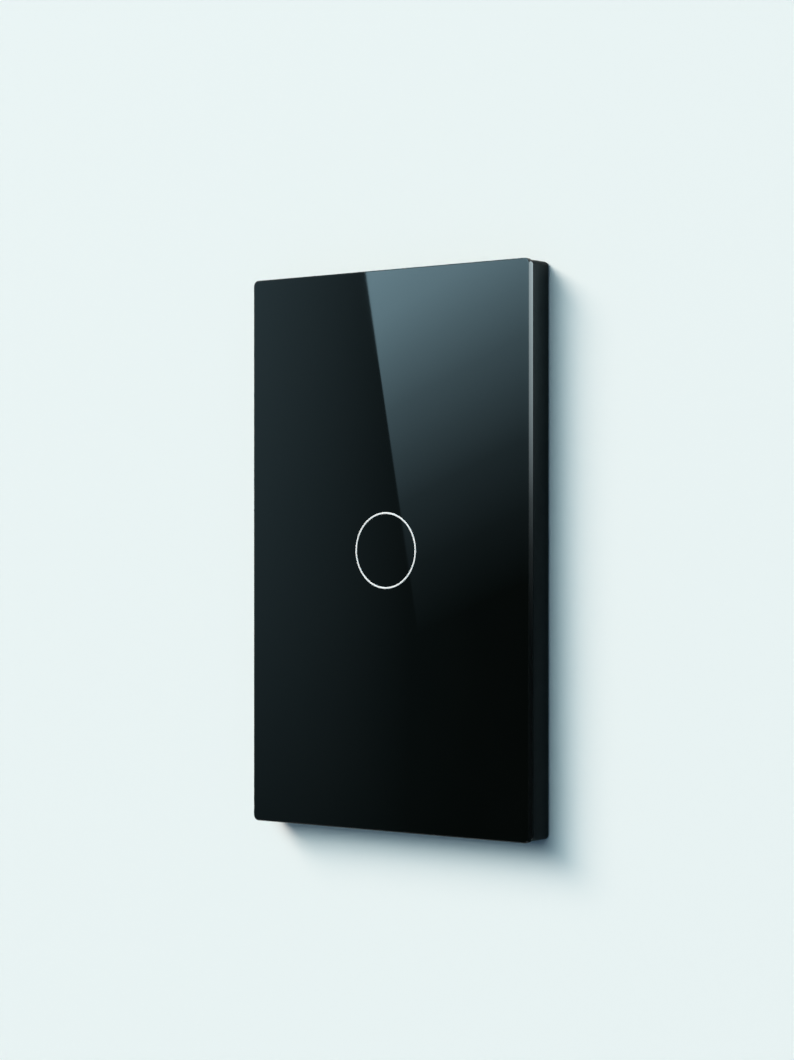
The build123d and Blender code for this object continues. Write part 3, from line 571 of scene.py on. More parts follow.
EDGE_MM = {
    "panel_frame": 0.15, "base_frame": 0.15, "mounting_plate": 0.10, "rear_housing": 0.15,
    "terminal_block": 0.12, "relay_case": 0.15, "film_capacitor": 0.15, "fuse": 0.15,
    "radio_shield": 0.15, "rectifier": 0.08, "transformer_base": 0.15, "transformer_core": 0.12,
    "board_header": 0.08, "touch_board": 0.05, "power_board": 0.06, "radio_module": 0.05,
    "relay_armature": 0.06, "relay_yoke": 0.08, "current_bars": 0.08, "screw_retainers": 0.08,
    "light_guide": 0.10, "terminal_clamp_1": 0.10, "terminal_clamp_2": 0.10,
    "terminal_clamp_3": 0.10, "relay_base": 0.08, "relay_bobbin": 0.06, "relay_core": 0.10,
}
for node, width_mm in EDGE_MM.items():
    piece = softened(node, "soft_" + node, width_mm, finishes[slot_of[node]])
    print(node, "faces:", len(piece.data.polygons))

# %% [markdown]
# ## Drawing in millimetres
# The small parts from here on are drawn in millimetres, as they are on a maker's sheet, and
# scaled to metres when they are finished. Two moves make most of them: circles on one axis for
# turned parts, and a stack of outlines for moulded ones. A Screw or a Bevel modifier could do
# much of this, but with loops each edge lies just where it is wanted.

# %% Small part helpers
def piece_for(node, name, mesh, materials, smooth_deg=35):
    """A piece drawn in millimetres that stands for a CAD node."""
    bmesh.ops.scale(mesh, vec=(MM, MM, MM), verts=mesh.verts)
    body = frame["nodes"][node]["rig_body"]
    piece = finish_mesh(name, mesh, body, materials, smooth_deg)
    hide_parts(node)
    print(name, "faces:", len(piece.data.polygons))


def facing_wall(a, b, depth):
    """Drawn across and up, with its depth into the wall."""
    return (a, depth, b)


def add_caps(mesh, loops, material=0):
    """Flat faces on the first loop and on the last."""
    for loop in (loops[0], loops[-1]):
        mesh.faces.new(loop).material_index = material


def add_turned(mesh, middle, profile, steps=32, material=0, capped=True, to=facing_wall):
    """Circles on one axis, joined by bands. A profile is pairs of radius and depth."""
    loops = [[mesh.verts.new(to(a, b, depth)) for a, b in circle_outline(radius, steps, middle)]
             for radius, depth in profile]
    add_bands(mesh, loops, material)
    if capped:
        add_caps(mesh, loops, material)
    return loops


def add_stack(mesh, size, middle, stack, corner=0.0, steps=3, material=0, capped=True):
    """Outlines of one block, joined by bands. A stack is pairs of inset and depth."""
    loops = []
    for inset, depth in stack:
        width, height = size[0] - 2 * inset, size[1] - 2 * inset
        outline = rounded_outline(width, height, max(corner - inset, 0.01), steps)
        loops.append([mesh.verts.new((middle[0] + x, depth, middle[1] + z)) for x, z in outline])
    add_bands(mesh, loops, material)
    if capped:
        add_caps(mesh, loops, material)
    return loops


print("small part helpers ready")

# %% [markdown]
# ## Strip and wire
# Leaf springs and leads are bent from strip, and a coil is wound from wire. A curve object with a
# bevel could give both, but it would have to become a mesh before its ends are closed. A loop of
# stations along a path with rounded corners gives the mesh straight away.

# %% Strip and wire helpers
def rounded_path(points, radius, steps=5):
    """A bent line with its corners rounded."""
    points = [Vector(point) for point in points]
    path = [points[0]]
    for before, corner, after in zip(points, points[1:], points[2:]):
        reach_in = (before - corner).normalized() * min(radius, (before - corner).length / 2)
        reach_out = (after - corner).normalized() * min(radius, (after - corner).length / 2)
        for step in range(steps + 1):
            share = step / steps
            path.append(corner + reach_in * (1 - share) ** 2 + reach_out * share ** 2)
    return path + [points[-1]]


def from_above(a, b, up):
    """Drawn across and into the wall, with its width upwards."""
    return (a, b, up)


def from_side(a, b, across):
    """Drawn up and into the wall, with its width across."""
    return (across, b, a)


def add_strip(mesh, path, thickness, across, to):
    """A strip along a flat path, with a thickness in the path's plane and a width across it."""
    stations = []
    for i, point in enumerate(path):
        along = (path[min(i + 1, len(path) - 1)] - path[max(i - 1, 0)]).normalized()
        side = Vector((-along.y, along.x)) * thickness / 2
        corners = ((point + side, across[0]), (point - side, across[0]),
                   (point - side, across[1]), (point + side, across[1]))
        stations.append([mesh.verts.new(to(corner.x, corner.y, width))
                         for corner, width in corners])
    add_bands(mesh, stations)
    add_caps(mesh, stations)


def add_wire(mesh, path, radius, steps=12):
    """A round wire along a path, with domed ends."""
    dome = [(math.cos(angle), math.sin(angle)) for angle in (1.45, 1.0, 0.5)]
    start, end = (path[0] - path[1]).normalized(), (path[-1] - path[-2]).normalized()
    stations = [(path[0] + start * radius * out, radius * share) for share, out in dome]
    stations += [(point, radius) for point in path]
    stations += [(path[-1] + end * radius * out, radius * share) for share, out in reversed(dome)]
    turns = [2 * math.pi * k / steps for k in range(steps)]
    side = start.orthogonal()
    rings = []
    for i, (point, reach) in enumerate(stations):
        before, after = stations[max(i - 1, 0)][0], stations[min(i + 1, len(stations) - 1)][0]
        along = (after - before).normalized()
        side = (side - along * side.dot(along)).normalized()
        up = along.cross(side)
        rings.append([mesh.verts.new(point + reach * (side * math.cos(turn) + up * math.sin(turn)))
                      for turn in turns])
    add_bands(mesh, rings)
    add_caps(mesh, rings)


print("strip and wire helpers ready")

# %% [markdown]
# ## Screws
# A screw could be a rod with a thread painted on as relief, but its outline would stay straight.
# Here the shank is circles whose radius swells along a helix, so that the thread is cut in the
# outline too. The head is a low dome with a cross pressed in, narrower at its floor, as the punch
# leaves it.

# %% Threads and screws
HEAD_EDGE = 0.12
THREAD_GAP = 0.02


def thread_ridge(share):
    """A thread's section: a pointed root and a narrow flat crest."""
    return min(1.0, 1.5 * (1 - abs(2 * share - 1)))


def add_helix(mesh, middle, start, end, root, rise, pitch, section, steps=32, rows=8, runout=1.0):
    """Circles whose radius swells along a right-hand helix, and dies away at both ends."""
    count = round(abs(end - start) / pitch * rows)
    loops = []
    for i in range(count + 1):
        depth = start + (end - start) * i / count
        held = min(1.0, min(i, count - i) / (rows * runout))
        loop = []
        for k in range(steps):
            radius = root + rise * held * section((depth / pitch + k / steps) % 1.0)
            angle = 2 * math.pi * k / steps
            loop.append(mesh.verts.new((middle[0] + radius * math.cos(angle), depth,
                                        middle[1] + radius * math.sin(angle))))
        loops.append(loop)
    add_bands(mesh, loops)
    return loops


def cross_outline(reach, width, middle):
    """The twelve corners of a cross, counter-clockwise."""
    half = width / 2
    points = []
    corners = [(reach, -half), (reach, half), (half, half)]
    for _ in range(4):
        points += [(middle[0] + a, middle[1] + b) for a, b in corners]
        corners = [(-b, a) for a, b in corners]
    return points


def add_screw(mesh, middle, front, seat, end, head, shank, pitch, neck=None):
    """A screw whose head lies from front to seat, and whose tip is at end."""
    way = 1 if end > front else -1
    height = abs(seat - front)
    crown = height / 3
    root = shank - pitch / 2
    profile = [(head - crown, 0.0), (head - 0.5 * crown, 0.15 * crown),
               (head - 0.15 * crown, 0.5 * crown), (head, crown),
               (head, height - HEAD_EDGE), (head - HEAD_EDGE, height)]
    turned = [(radius, front + way * down) for radius, down in profile]
    turned += [(neck[0], seat), neck] if neck else [(root, seat)]
    loops = add_turned(mesh, middle, turned, capped=False)
    tip = shank / 3
    start = neck[1] if neck else seat
    thread = add_helix(mesh, middle, start + way * THREAD_GAP, end - way * tip,
                       root, pitch / 2, pitch, thread_ridge)
    add_band(mesh, loops[-1], thread[0])
    point = add_turned(mesh, middle, [(root * 0.8, end)], capped=False)[0]
    add_band(mesh, thread[-1], point)
    mesh.faces.new(point)
    rim = add_loop(mesh, cross_outline(shank, shank / 2, middle), front)
    cross_floor = add_loop(mesh, cross_outline(shank * 0.62, shank * 0.34, middle),
                           front + way * height / 2)
    fill_flat(mesh, [loops[0], rim])
    add_band(mesh, rim, cross_floor)
    fill_flat(mesh, [cross_floor])


def screws(node, places, **sizes):
    """All the screws of one node, cut to the same sizes."""
    mesh = bmesh.new()
    for middle in places:
        add_screw(mesh, middle, **sizes)
    piece_for(node, "cut_" + node, mesh, [finishes[slot_of[node]]], 40)


print("screw helpers ready")

# %% [markdown]
# ## The four kinds of screw
# Two long screws go into the wall box, and each has a neck without thread, which its grommet
# holds. Four short ones clamp base, housing and plate, two hold the power board, and three press
# the wires in the terminals. One helper could size them from a table of standard threads, but
# with so few the sizes are plainer to read as they are.

# %% The screws
BOX_SCREW_UP = 41.65
TERMINAL_UP = -26.4
for end_name, up in (("lower", -BOX_SCREW_UP), ("upper", BOX_SCREW_UP)):
    screws("mounting_screw_" + end_name, [(0.0, up)], front=-3.4, seat=-1.6, end=24.0,
           head=3.3, shank=1.75, pitch=0.6, neck=(1.5, 0.4))
screws("clamp_screws", [(x, z) for x in (-25.2, 25.2) for z in (-28.0, 28.0)],
       front=-4.1, seat=-2.9, end=-0.1, head=2.3, shank=1.25, pitch=0.45)
screws("board_screws", [(-17.9, 28.9), (17.9, 28.9)],
       front=5.9, seat=7.0, end=13.0, head=1.9, shank=1.0, pitch=0.45)
for i, x in enumerate((-12.0, 0.0, 12.0), 1):
    screws(f"terminal_screw_{i}", [(x, TERMINAL_UP)],
           front=24.6, seat=23.0, end=16.5, head=2.6, shank=1.5, pitch=0.5)

# %% [markdown]
# ## Leaf springs
# Four leaf springs snap the front panel on its base. Each is strip with a bump, bent and never
# built up from blocks, so its bends are round on both sides. The path is drawn as seen from
# above, and the strip's width runs up the panel.

# %% Leaf springs
CLIP_STEEL = 0.28
CLIP_HALF = 4.0
CLIP_FLAT, CLIP_BUMP = 35.15, 34.45


def clip_path(side):
    """A leaf from its foot to its tip, with the bump that snaps into the base."""
    flat, bump = side * CLIP_FLAT, side * CLIP_BUMP
    corners = [(flat, -4.8), (flat, -3.15), (bump, -2.6), (bump, -2.1), (flat, -1.55), (flat, -0.8)]
    return rounded_path(corners, CLIP_STEEL, 6)


mesh = bmesh.new()
for side in (-1, 1):
    for z in (-30.0, 30.0):
        add_strip(mesh, clip_path(side), CLIP_STEEL, (z - CLIP_HALF, z + CLIP_HALF), from_above)
piece_for("panel_clips", "bent_panel_clips", mesh, [metals["spring_steel"]], 40)

# %% [markdown]
# ## The touch spring
# A finger on the glass is felt through this spring, which joins the glass to the touch board. It
# is wound wire, so it is one wire along a helix. A stack of closed rings would look much the same
# from the side, but no such spring could be wound. Its end turns lie flat, one on the board and
# one under the glass.

# %% Touch spring
SPRING_TURNS = 3
SPRING_STEPS = 56
SPRING_WIRE = 0.225
SPRING_FOOT = -2.645
SPRING_REACH = 3.06
SPRING_FLAT = 0.45


def spring_point(turn):
    """The wire's middle after so many turns: its end half turns lie flat."""
    share = turn / SPRING_TURNS
    radius = 5.0 - share
    rise = min(max((turn - SPRING_FLAT) / (SPRING_TURNS - 2 * SPRING_FLAT), 0.0), 1.0)
    rise = rise * rise * (3 - 2 * rise) * 0.35 + rise * 0.65
    angle = 2 * math.pi * turn
    return Vector((radius * math.cos(angle), SPRING_FOOT - SPRING_REACH * rise,
                   radius * math.sin(angle)))


mesh = bmesh.new()
path = [spring_point(i / SPRING_STEPS) for i in range(SPRING_TURNS * SPRING_STEPS + 1)]
add_wire(mesh, path, SPRING_WIRE)
piece_for("touch_spring", "wound_touch_spring", mesh, [metals["plated_spring"]], 60)

# %% [markdown]
# ## The touch chip
# The chip is black epoxy pressed in a mould, whose halves leave its sides sloping, and a small
# dimple marks its first lead. The leads are thin strip bent twice, so that their feet lie on the
# board. They are a node of their own, because they are tinned metal.

# %% Chip and its leads
CHIP_UP = -13.0
CHIP_PITCH = 1.27
LEAD_ROWS = [CHIP_UP + (i - 1.5) * CHIP_PITCH for i in range(4)]
mesh = bmesh.new()
sides = [(0.20, -3.8), (0.17, -3.78), (0.03, -3.62), (0.0, -3.05), (0.10, -2.6)]
chip = add_stack(mesh, (3.9, 4.9), (0.0, CHIP_UP), sides, 0.06, capped=False)
dimple = [(0.28, -3.8), (0.26, -3.74), (0.10, -3.72)]
dot = add_turned(mesh, (-1.25, CHIP_UP + 1.75), dimple, 24, capped=False)
fill_flat(mesh, [chip[0], dot[0]])
mesh.faces.new(dot[-1])
mesh.faces.new(chip[-1])
piece_for("touch_controller", "chip_body", mesh, [plastics["black_epoxy"]], 30)

mesh = bmesh.new()
for side in (-1, 1):
    bends = [(side * 1.8, -3.0), (side * 2.3, -3.0), (side * 2.48, -2.5), (side * 3.0, -2.5)]
    lead = rounded_path(bends, 0.15, 4)
    for z in LEAD_ROWS:
        add_strip(mesh, lead, 0.18, (z - 0.21, z + 0.21), from_above)
piece_for("touch_controller_leads", "chip_leads", mesh, [metals["tinned_lead"]], 50)

# %% [markdown]
# ## The lamps
# Three lamps stand under the clear ring. Each is a cream case with a round well, and the well is
# filled with yellow resin a little below its rim. Case and resin are one mesh with two finishes,
# so that no gap can open between them.

# %% Lamps
LAMP_REACH = 7.9
LAMP_DEGREES = (30, 150, 270)
LAMP_CASE = [(0.06, -3.1), (0.0, -3.04), (0.0, -2.55), (0.03, -2.4)]


def on_ring(degrees):
    """A place on the circle where the lamps and the guide's legs stand."""
    angle = math.radians(degrees)
    return (LAMP_REACH * math.cos(angle), LAMP_REACH * math.sin(angle))


lamp_case = moulded("lamp_case_cream", (0.66, 0.64, 0.58), (0.74, 0.72, 0.66),
                    0.10, 0.003, 0.40, 0.52)
mesh = bmesh.new()
for middle in map(on_ring, LAMP_DEGREES):
    case = add_stack(mesh, (1.6, 1.6), middle, LAMP_CASE, 0.12, material=1, capped=False)
    well = add_turned(mesh, middle, [(0.62, -3.1), (0.56, -2.98)], 28, 1, capped=False)
    fill_flat(mesh, [case[0], well[0]], 1)
    mesh.faces.new(case[-1]).material_index = 1
    resin = add_turned(mesh, middle, [(0.45, -3.005), (0.2, -3.02)], 28, 0, capped=False)
    add_band(mesh, well[-1], resin[0])
    mesh.faces.new(resin[-1])
piece_for("status_lamps", "lamps_with_wells", mesh, [boards["lamp_white"], lamp_case], 30)

# %% [markdown]
# ## Pads and runs
# The pads and runs on the touch board are copper with a thin tin coat. A texture could draw them,
# but at this size their edges catch light, so they stand 0.03 mm proud. A pad lies under each foot
# of the chip and the lamps, and a ring of copper under the spring and under each of the guide's
# legs.

# %% Pads and runs on the touch board
PAD = (-2.43, -2.40)
LEG_DEGREES = (90, 210, 330)


def add_pad(mesh, size, middle):
    add_stack(mesh, size, middle, [(0.01, PAD[0]), (0.0, PAD[0] + 0.01), (0.0, PAD[1])], 0.06)


def add_ring_pad(mesh, middle, outer, inner):
    profile = [(outer, PAD[1]), (outer, PAD[0]), (inner, PAD[0]), (inner, PAD[1])]
    rings = add_turned(mesh, middle, profile, 64, capped=False)
    add_band(mesh, rings[-1], rings[0])


def tinned_runs(name, mesh):
    """Copper on a board, drawn in millimetres. The CAD has no node of it."""
    bmesh.ops.scale(mesh, vec=(MM, MM, MM), verts=mesh.verts)
    piece = finish_mesh(name, mesh, "base", [metals["tinned_lead"]], 30)
    print(name, "faces:", len(piece.data.polygons))


mesh = bmesh.new()
add_ring_pad(mesh, (0.0, 0.0), 5.7, 4.3)
for middle in map(on_ring, LEG_DEGREES):
    add_ring_pad(mesh, middle, 1.0, 0.62)
for side in (-1, 1):
    for z in LEAD_ROWS:
        add_pad(mesh, (0.95, 0.6), (side * 2.85, z))
for across, up in map(on_ring, LAMP_DEGREES):
    for side in (-1, 1):
        add_pad(mesh, (0.5, 1.5), (across + side * 0.95, up))
runs = [[(-3.9, -3.9), (-3.9, -8.4), (-2.85, -9.6), (-2.85, -11.0)],
        [(0.95, -8.0), (1.9, -8.9), (2.85, -10.2), (2.85, -11.0)],
        [(-0.95, -8.0), (-1.6, -8.8), (-1.6, -10.0)]]
for run in runs:
    add_strip(mesh, rounded_path(run, 0.5), 0.25, PAD, facing_wall)
tinned_runs("touch_pads", mesh)

# %% [markdown]
# ## The relay's coil
# The relay's coil is hundreds of turns of hair-thin wire. Modelling each one is pointless, and a
# smooth sleeve looks like plastic, so the sleeve's surface follows a helix of round ridges, a
# quarter of a millimetre apart.

# %% Relay coil
RELAY = (-13.9, 2.4)
COIL_FROM, COIL_TO = 11.72, 18.68


def wire_round(share):
    """Half a circle: the outer half of a turn of wire."""
    return math.sqrt(max(0.0, 1 - (2 * share - 1) ** 2))


mesh = bmesh.new()
coil = add_helix(mesh, RELAY, COIL_FROM, COIL_TO, root=3.66, rise=0.13, pitch=0.25,
                 section=wire_round, steps=56, rows=6, runout=0.5)
bore = add_turned(mesh, RELAY, [(2.52, COIL_FROM), (2.52, COIL_TO)], 56, capped=False)
add_band(mesh, coil[0], bore[0])
add_band(mesh, coil[-1], bore[-1])
piece_for("relay_winding", "wound_relay_coil", mesh, [metals["coil_copper"]], 70)

# %% [markdown]
# ## The transformer's coil
# This coil is hidden in yellow tape, and only its margins show copper. The tape's layers end a
# few hundredths of a millimetre apart, and these steps are what shows that it was wound on. The
# copper could be a mesh of its own, but it would lie right under the tape and flicker.

# %% Transformer coil
WOUND, WOUND_MIDDLE = (8.8, 10.4), (3.5, -12.0)
TAPED = (13.11, 18.99)
layers = [(0.55, 12.6), (0.55, 13.1), (0.14, 13.12), (0.10, 13.2), (0.10, 15.6), (0.05, 15.62),
          (0.05, 17.4), (0.0, 17.42), (0.0, 18.9), (0.10, 18.98), (0.55, 19.0), (0.55, 19.6)]
mesh = bmesh.new()
wrapped = add_stack(mesh, WOUND, WOUND_MIDDLE, layers, 1.1, 6, capped=False)
leg = add_stack(mesh, (4.04, 6.04), WOUND_MIDDLE, [(0.0, 12.6), (0.0, 19.6)], 0.02, 6, capped=False)
fill_flat(mesh, [wrapped[0], leg[0]])
fill_flat(mesh, [wrapped[-1], leg[-1]])
for face in mesh.faces:
    face.material_index = int(not TAPED[0] <= face.calc_center_median().y <= TAPED[1])
piece_for("transformer_winding", "taped_transformer_coil", mesh,
          [boards["winding_tape"], metals["coil_copper"]], 30)

# %% [markdown]
# ## Cans and disc
# The two capacitors are aluminium cans in a plastic sleeve. The sleeve is curled over the end,
# the can is pinched near its seal, a pale stripe marks one lead, and the bare top is scored so
# that it opens there if the can fails. The varistor is a disc dipped in epoxy, thick in the
# middle and thin at its rim, and it stands on its edge.

# %% Cans and disc
CAN_ACROSS = 8.7
CANS_UP = (0.0, 9.5)
CAN_SIDE = [(3.1, 8.6), (3.7, 8.6), (3.92, 8.68), (4.0, 8.9), (4.0, 9.7), (3.86, 9.9),
            (3.66, 10.2), (3.86, 10.5), (4.0, 10.7), (4.0, 20.1), (3.9, 20.4), (3.6, 20.58),
            (3.3, 20.6), (3.2, 20.52)]
STRIPE_HALF = 1.1
STRIPE_FROM, STRIPE_TO = 10.8, 20.2
can_top = rolled("can_top_bare", (0.62, 0.63, 0.64), (0.76, 0.77, 0.78), 0.15, ALONG_X, 0.24, 0.36)
can_stripe = moulded("can_stripe_pale", (0.46, 0.50, 0.54), (0.56, 0.60, 0.64),
                     0.50, 0.003, 0.20, 0.30)
mesh = bmesh.new()
for up in CANS_UP:
    can = add_turned(mesh, (CAN_ACROSS, up), CAN_SIDE, 48, capped=False)
    for face in {face for loop in can for vert in loop for face in vert.link_faces}:
        middle = face.calc_center_median()
        on_side = middle.x > CAN_ACROSS and STRIPE_FROM < middle.y < STRIPE_TO
        if on_side and abs(middle.z - up) < STRIPE_HALF:
            face.material_index = 2
    mesh.faces.new(can[0])
    score = add_loop(mesh, cross_outline(2.2, 0.25, (CAN_ACROSS, up)), 20.52)
    score_floor = add_loop(mesh, cross_outline(2.15, 0.12, (CAN_ACROSS, up)), 20.42)
    fill_flat(mesh, [can[-1], score], 1)
    add_band(mesh, score, score_floor, 1)
    fill_flat(mesh, [score_floor], 1)
piece_for("filter_capacitors", "sleeved_cans", mesh,
          [plastics["can_aluminium"], can_top, can_stripe], 35)

mesh = bmesh.new()
disc = [(1.0, -0.74), (3.0, -0.72), (4.2, -0.55), (4.75, -0.1), (4.95, 0.5), (5.0, 1.2),
        (4.95, 1.9), (4.75, 2.5), (4.2, 2.95), (3.0, 3.12), (1.0, 3.14)]
add_turned(mesh, (13.6, 1.0), disc, 56, to=lambda depth, up, across: (across, depth, up))
piece_for("varistor", "dipped_varistor", mesh, [plastics["blue_varistor"]], 60)

# %% [markdown]
# ## Leads and pins
# Every lead ends in a cone of solder, which is what tells a soldered board from a pinned one. A
# plain rod would do for a board that is never seen, but this one shows when its box is opened.

# %% Leads and pins
SOLDERED = ((0.6, 6.2), (1.0, 6.32), (1.04, 6.5), (1.35, 6.8), (1.9, 6.95), (2.3, 7.0),
            (1.0, 7.02), (1.0, 8.6))
HEADER_PIN = [(0.2, -2.4), (0.3, -2.28), (0.3, 8.6), (0.8, 8.61), (0.62, 8.7), (0.42, 8.9),
              (0.31, 9.08), (0.2, 9.2)]


def add_lead(mesh, middle, radius):
    """A lead through the power board, with its solder cone on the board's front."""
    add_turned(mesh, middle, [(radius * swell, depth) for swell, depth in SOLDERED], 20)


film_leads = [(-12.5 + s * 4.333, -16.0) for s in (-1, 1)]
coil_leads = [(3.5 + s * 5.333, -12.0 + t * 4.333) for s in (-1, 1) for t in (-1, 1)]
can_leads = [(CAN_ACROSS + s * 2.0, up) for up in CANS_UP for s in (-1, 1)]
varistor_leads = [(1.2, 1.0 + s * 2.5) for s in (-1, 1)]
fuse_leads = [(-3.3 + s * 2.667, 17.9) for s in (-1, 1)]
supply_leads = film_leads + coil_leads + can_leads + varistor_leads + fuse_leads
relay_pins = [(RELAY[0] + s * 2.55, up) for s in (-1, 1) for up in (-1.45, 11.85)] + [RELAY]
for node, places, radius in (("component_leads", supply_leads, 0.4),
                             ("relay_pins", relay_pins, 0.5)):
    mesh = bmesh.new()
    for middle in places:
        add_lead(mesh, middle, radius)
    piece_for(node, "soldered_" + node, mesh, [metals["tinned_lead"]], 50)

mesh = bmesh.new()
for i in range(6):
    add_turned(mesh, (16.75, -6.35 + 2.54 * i), HEADER_PIN, 20)
piece_for("header_pins", "soldered_header_pins", mesh, [metals["tinned_lead"]], 50)

# %% [markdown]
# ## The relay's contacts
# The contacts are domed silver buttons riveted in their springs, because flat ones would weld.
# The leaf rides on the armature and its button closes on the fixed one, which sits on a bent post.

# %% Relay contacts
CONTACT = (RELAY[0], 11.4)
LEAF = (RELAY[0] - 2.0, RELAY[0] + 2.0)
RIVET = [(0.5, 21.9), (0.5, 21.99), (0.38, 22.07), (0.15, 22.1)]
LEAF_BUTTON = [(0.3, 20.6), (0.7, 20.66), (0.93, 20.85), (1.0, 21.05), (1.0, 21.72)]
POST_BUTTON = [(1.0, 18.9), (1.0, 19.35), (0.93, 19.45), (0.7, 19.56), (0.3, 19.6)]
contact_silver = rolled("contact_silver", (0.74, 0.73, 0.70), (0.86, 0.85, 0.82),
                        0.12, ALL_WAYS, 0.22, 0.34)
mesh = bmesh.new()
leaf = rounded_path([(2.4, 21.825), (12.4, 21.825)], 0.5)
add_strip(mesh, leaf, 0.25, LEAF, from_side)
for side in (-1.1, 1.1):
    add_turned(mesh, (RELAY[0] + side, 4.4), RIVET, 24)
add_turned(mesh, CONTACT, LEAF_BUTTON, 32, 1)
piece_for("relay_contact_leaf", "riveted_contact_leaf", mesh,
          [metals["spring_steel"], contact_silver], 40)

mesh = bmesh.new()
post = rounded_path([(12.65, 9.8), (12.65, 18.75), (10.4, 18.75)], 0.4)
add_strip(mesh, post, 0.5, LEAF, from_side)
add_turned(mesh, CONTACT, POST_BUTTON, 32, 1)
piece_for("relay_fixed_contact", "bent_fixed_contact", mesh,
          [metals["brass_bar"], contact_silver], 40)

# %% [markdown]
# ## Chip parts
# The smallest parts are bars of brown ceramic with a tinned cap at each end. The caps stand a
# little higher and wider than the bar. That step is all that shows what they are, so each bar is
# three blocks and not one block in two colours.

# %% Chip parts
BAR_SECTIONS = ((-1.0, -0.7, 0.0, 1), (-0.7, 0.7, 0.03, 0), (0.7, 1.0, 0.0, 1))
mesh = bmesh.new()
for i in range(5):
    for j in range(3):
        across, up = (i - 2) * 4.0, 21.4 + j * 2.6
        for start, end, drawn_in, material in BAR_SECTIONS:
            size = (end - start, 1.2 - 2 * drawn_in)
            add_stack(mesh, size, (across + (start + end) / 2, up),
                      [(0.04, 6.4 + drawn_in), (0.0, 6.44 + drawn_in), (0.0, 7.0)],
                      0.05, 2, material)
piece_for("surface_parts", "capped_chip_parts", mesh,
          [plastics["brown_part"], metals["tinned_lead"]], 40)

# %% [markdown]
# ## The antenna
# The radio board's antenna is one copper run folded to and fro, because its length has to match
# the radio wave and the board is short. It is made as the touch board's runs are.

# %% Antenna of the radio board
FOLD_WIDTH = 2.2
ANTENNA_LEFT, ANTENNA_TOP = -5.8, 23.9
mesh = bmesh.new()
corners = [(ANTENNA_LEFT, 20.4), (ANTENNA_LEFT, ANTENNA_TOP)]
for i in range(5):
    left = ANTENNA_LEFT + FOLD_WIDTH * i
    corners += [(left + 1.1, ANTENNA_TOP), (left + 1.1, 21.3),
                (left + FOLD_WIDTH, 21.3), (left + FOLD_WIDTH, ANTENNA_TOP)]
add_strip(mesh, rounded_path(corners, 0.2, 3), 0.5, (-0.41, -0.37), facing_wall)
tinned_runs("antenna_run", mesh)

# %% [markdown]
# ## Foam tape
# The tape is a soft frame of foam between glass and plastic. Die-cut foam never has a straight
# side: the cells are cut open and the side bulges a little. So its outline is sampled finely, and
# the middle of each side wanders by a few hundredths of a millimetre.

# %% Foam tape
def sampled(outline, counts):
    """An outline whose sides are cut in so many steps."""
    points = []
    for first, second, count in zip(outline, outline[1:] + outline[:1], counts):
        across, up = second[0] - first[0], second[1] - first[1]
        points += [(first[0] + across * i / count, first[1] + up * i / count)
                   for i in range(count)]
    return points


TAPE_OUTER, TAPE_INNER = (rounded_outline(width, height, 1.3, 6)
                          for width, height in ((73.4, 118.8), (61.4, 106.8)))
TAPE_DEPTHS = (-6.05, -5.925, -5.80)
TAPE_STEP = 0.8
TAPE_PULL = 0.07
around = TAPE_OUTER + TAPE_OUTER[:1]
side_counts = [max(1, round(math.dist(first, second) / TAPE_STEP))
               for first, second in zip(around, around[1:])]
mesh = bmesh.new()
rings = []
for outline, way, depths in ((TAPE_OUTER, 1.0, TAPE_DEPTHS), (TAPE_INNER, -1.0, TAPE_DEPTHS[::-1])):
    for depth in depths:
        pull = 0.0 if depth == TAPE_DEPTHS[1] else TAPE_PULL
        loop = []
        for x, z in sampled(outline, side_counts):
            wobble = mathutils.noise.noise(Vector((x * 0.9, depth * 3.0, z * 0.9)))
            share = 1 - way * (pull + (0.03 + 0.03 * wobble)) / math.hypot(x, z)
            loop.append(mesh.verts.new((x * share, depth, z * share)))
        rings.append(loop)
add_bands(mesh, rings, closed=True)
piece_for("panel_adhesive", "foam_tape", mesh, [plastics["black_foam"]], 50)

# %% [markdown]
# ## The wall and the floor
# The switch hangs on a pale wall. The wall is one plane that shows its front only: from behind it
# is clear, so that the box in the wall can be looked at too. It has an opening where the wall box
# and the steel plate are. It stands a hair behind the plate's back, because two faces in the same
# place would flicker. The floor lies well below, out of the photograph.

# %% Wall and floor
WALL_COLOUR = (0.811, 0.905, 0.913)
WALL_HALF = 6.0
WALL_GAP = 0.05 * MM
WALL_OPENING = (66 * MM, 108 * MM)
FLOOR_HALF = 3.0
FLOOR_DEPTH = -0.45


def wall_finish():
    material = new_finish("wall_paint", WALL_COLOUR, 0.9)
    nodes = material.node_tree.nodes
    paint_shader = add_node(material, "ShaderNodeBsdfDiffuse", Color=(*WALL_COLOUR, 1.0))
    clear = add_node(material, "ShaderNodeBsdfTransparent")
    side = add_node(material, "ShaderNodeNewGeometry")
    choose = add_node(material, "ShaderNodeMixShader")
    wire(material, side.outputs["Backfacing"], choose.inputs[0])
    wire(material, paint_shader.outputs[0], choose.inputs[1])
    wire(material, clear.outputs[0], choose.inputs[2])
    wire(material, choose.outputs[0], nodes["Material Output"].inputs["Surface"])
    nodes.remove(shader_of(material))
    return material


def stage_piece(name, mesh, material):
    data = bpy.data.meshes.new(name)
    mesh.to_mesh(data)
    mesh.free()
    data.materials.append(material)
    piece = bpy.data.objects.new(name, data)
    scene.collection.objects.link(piece)
    return piece


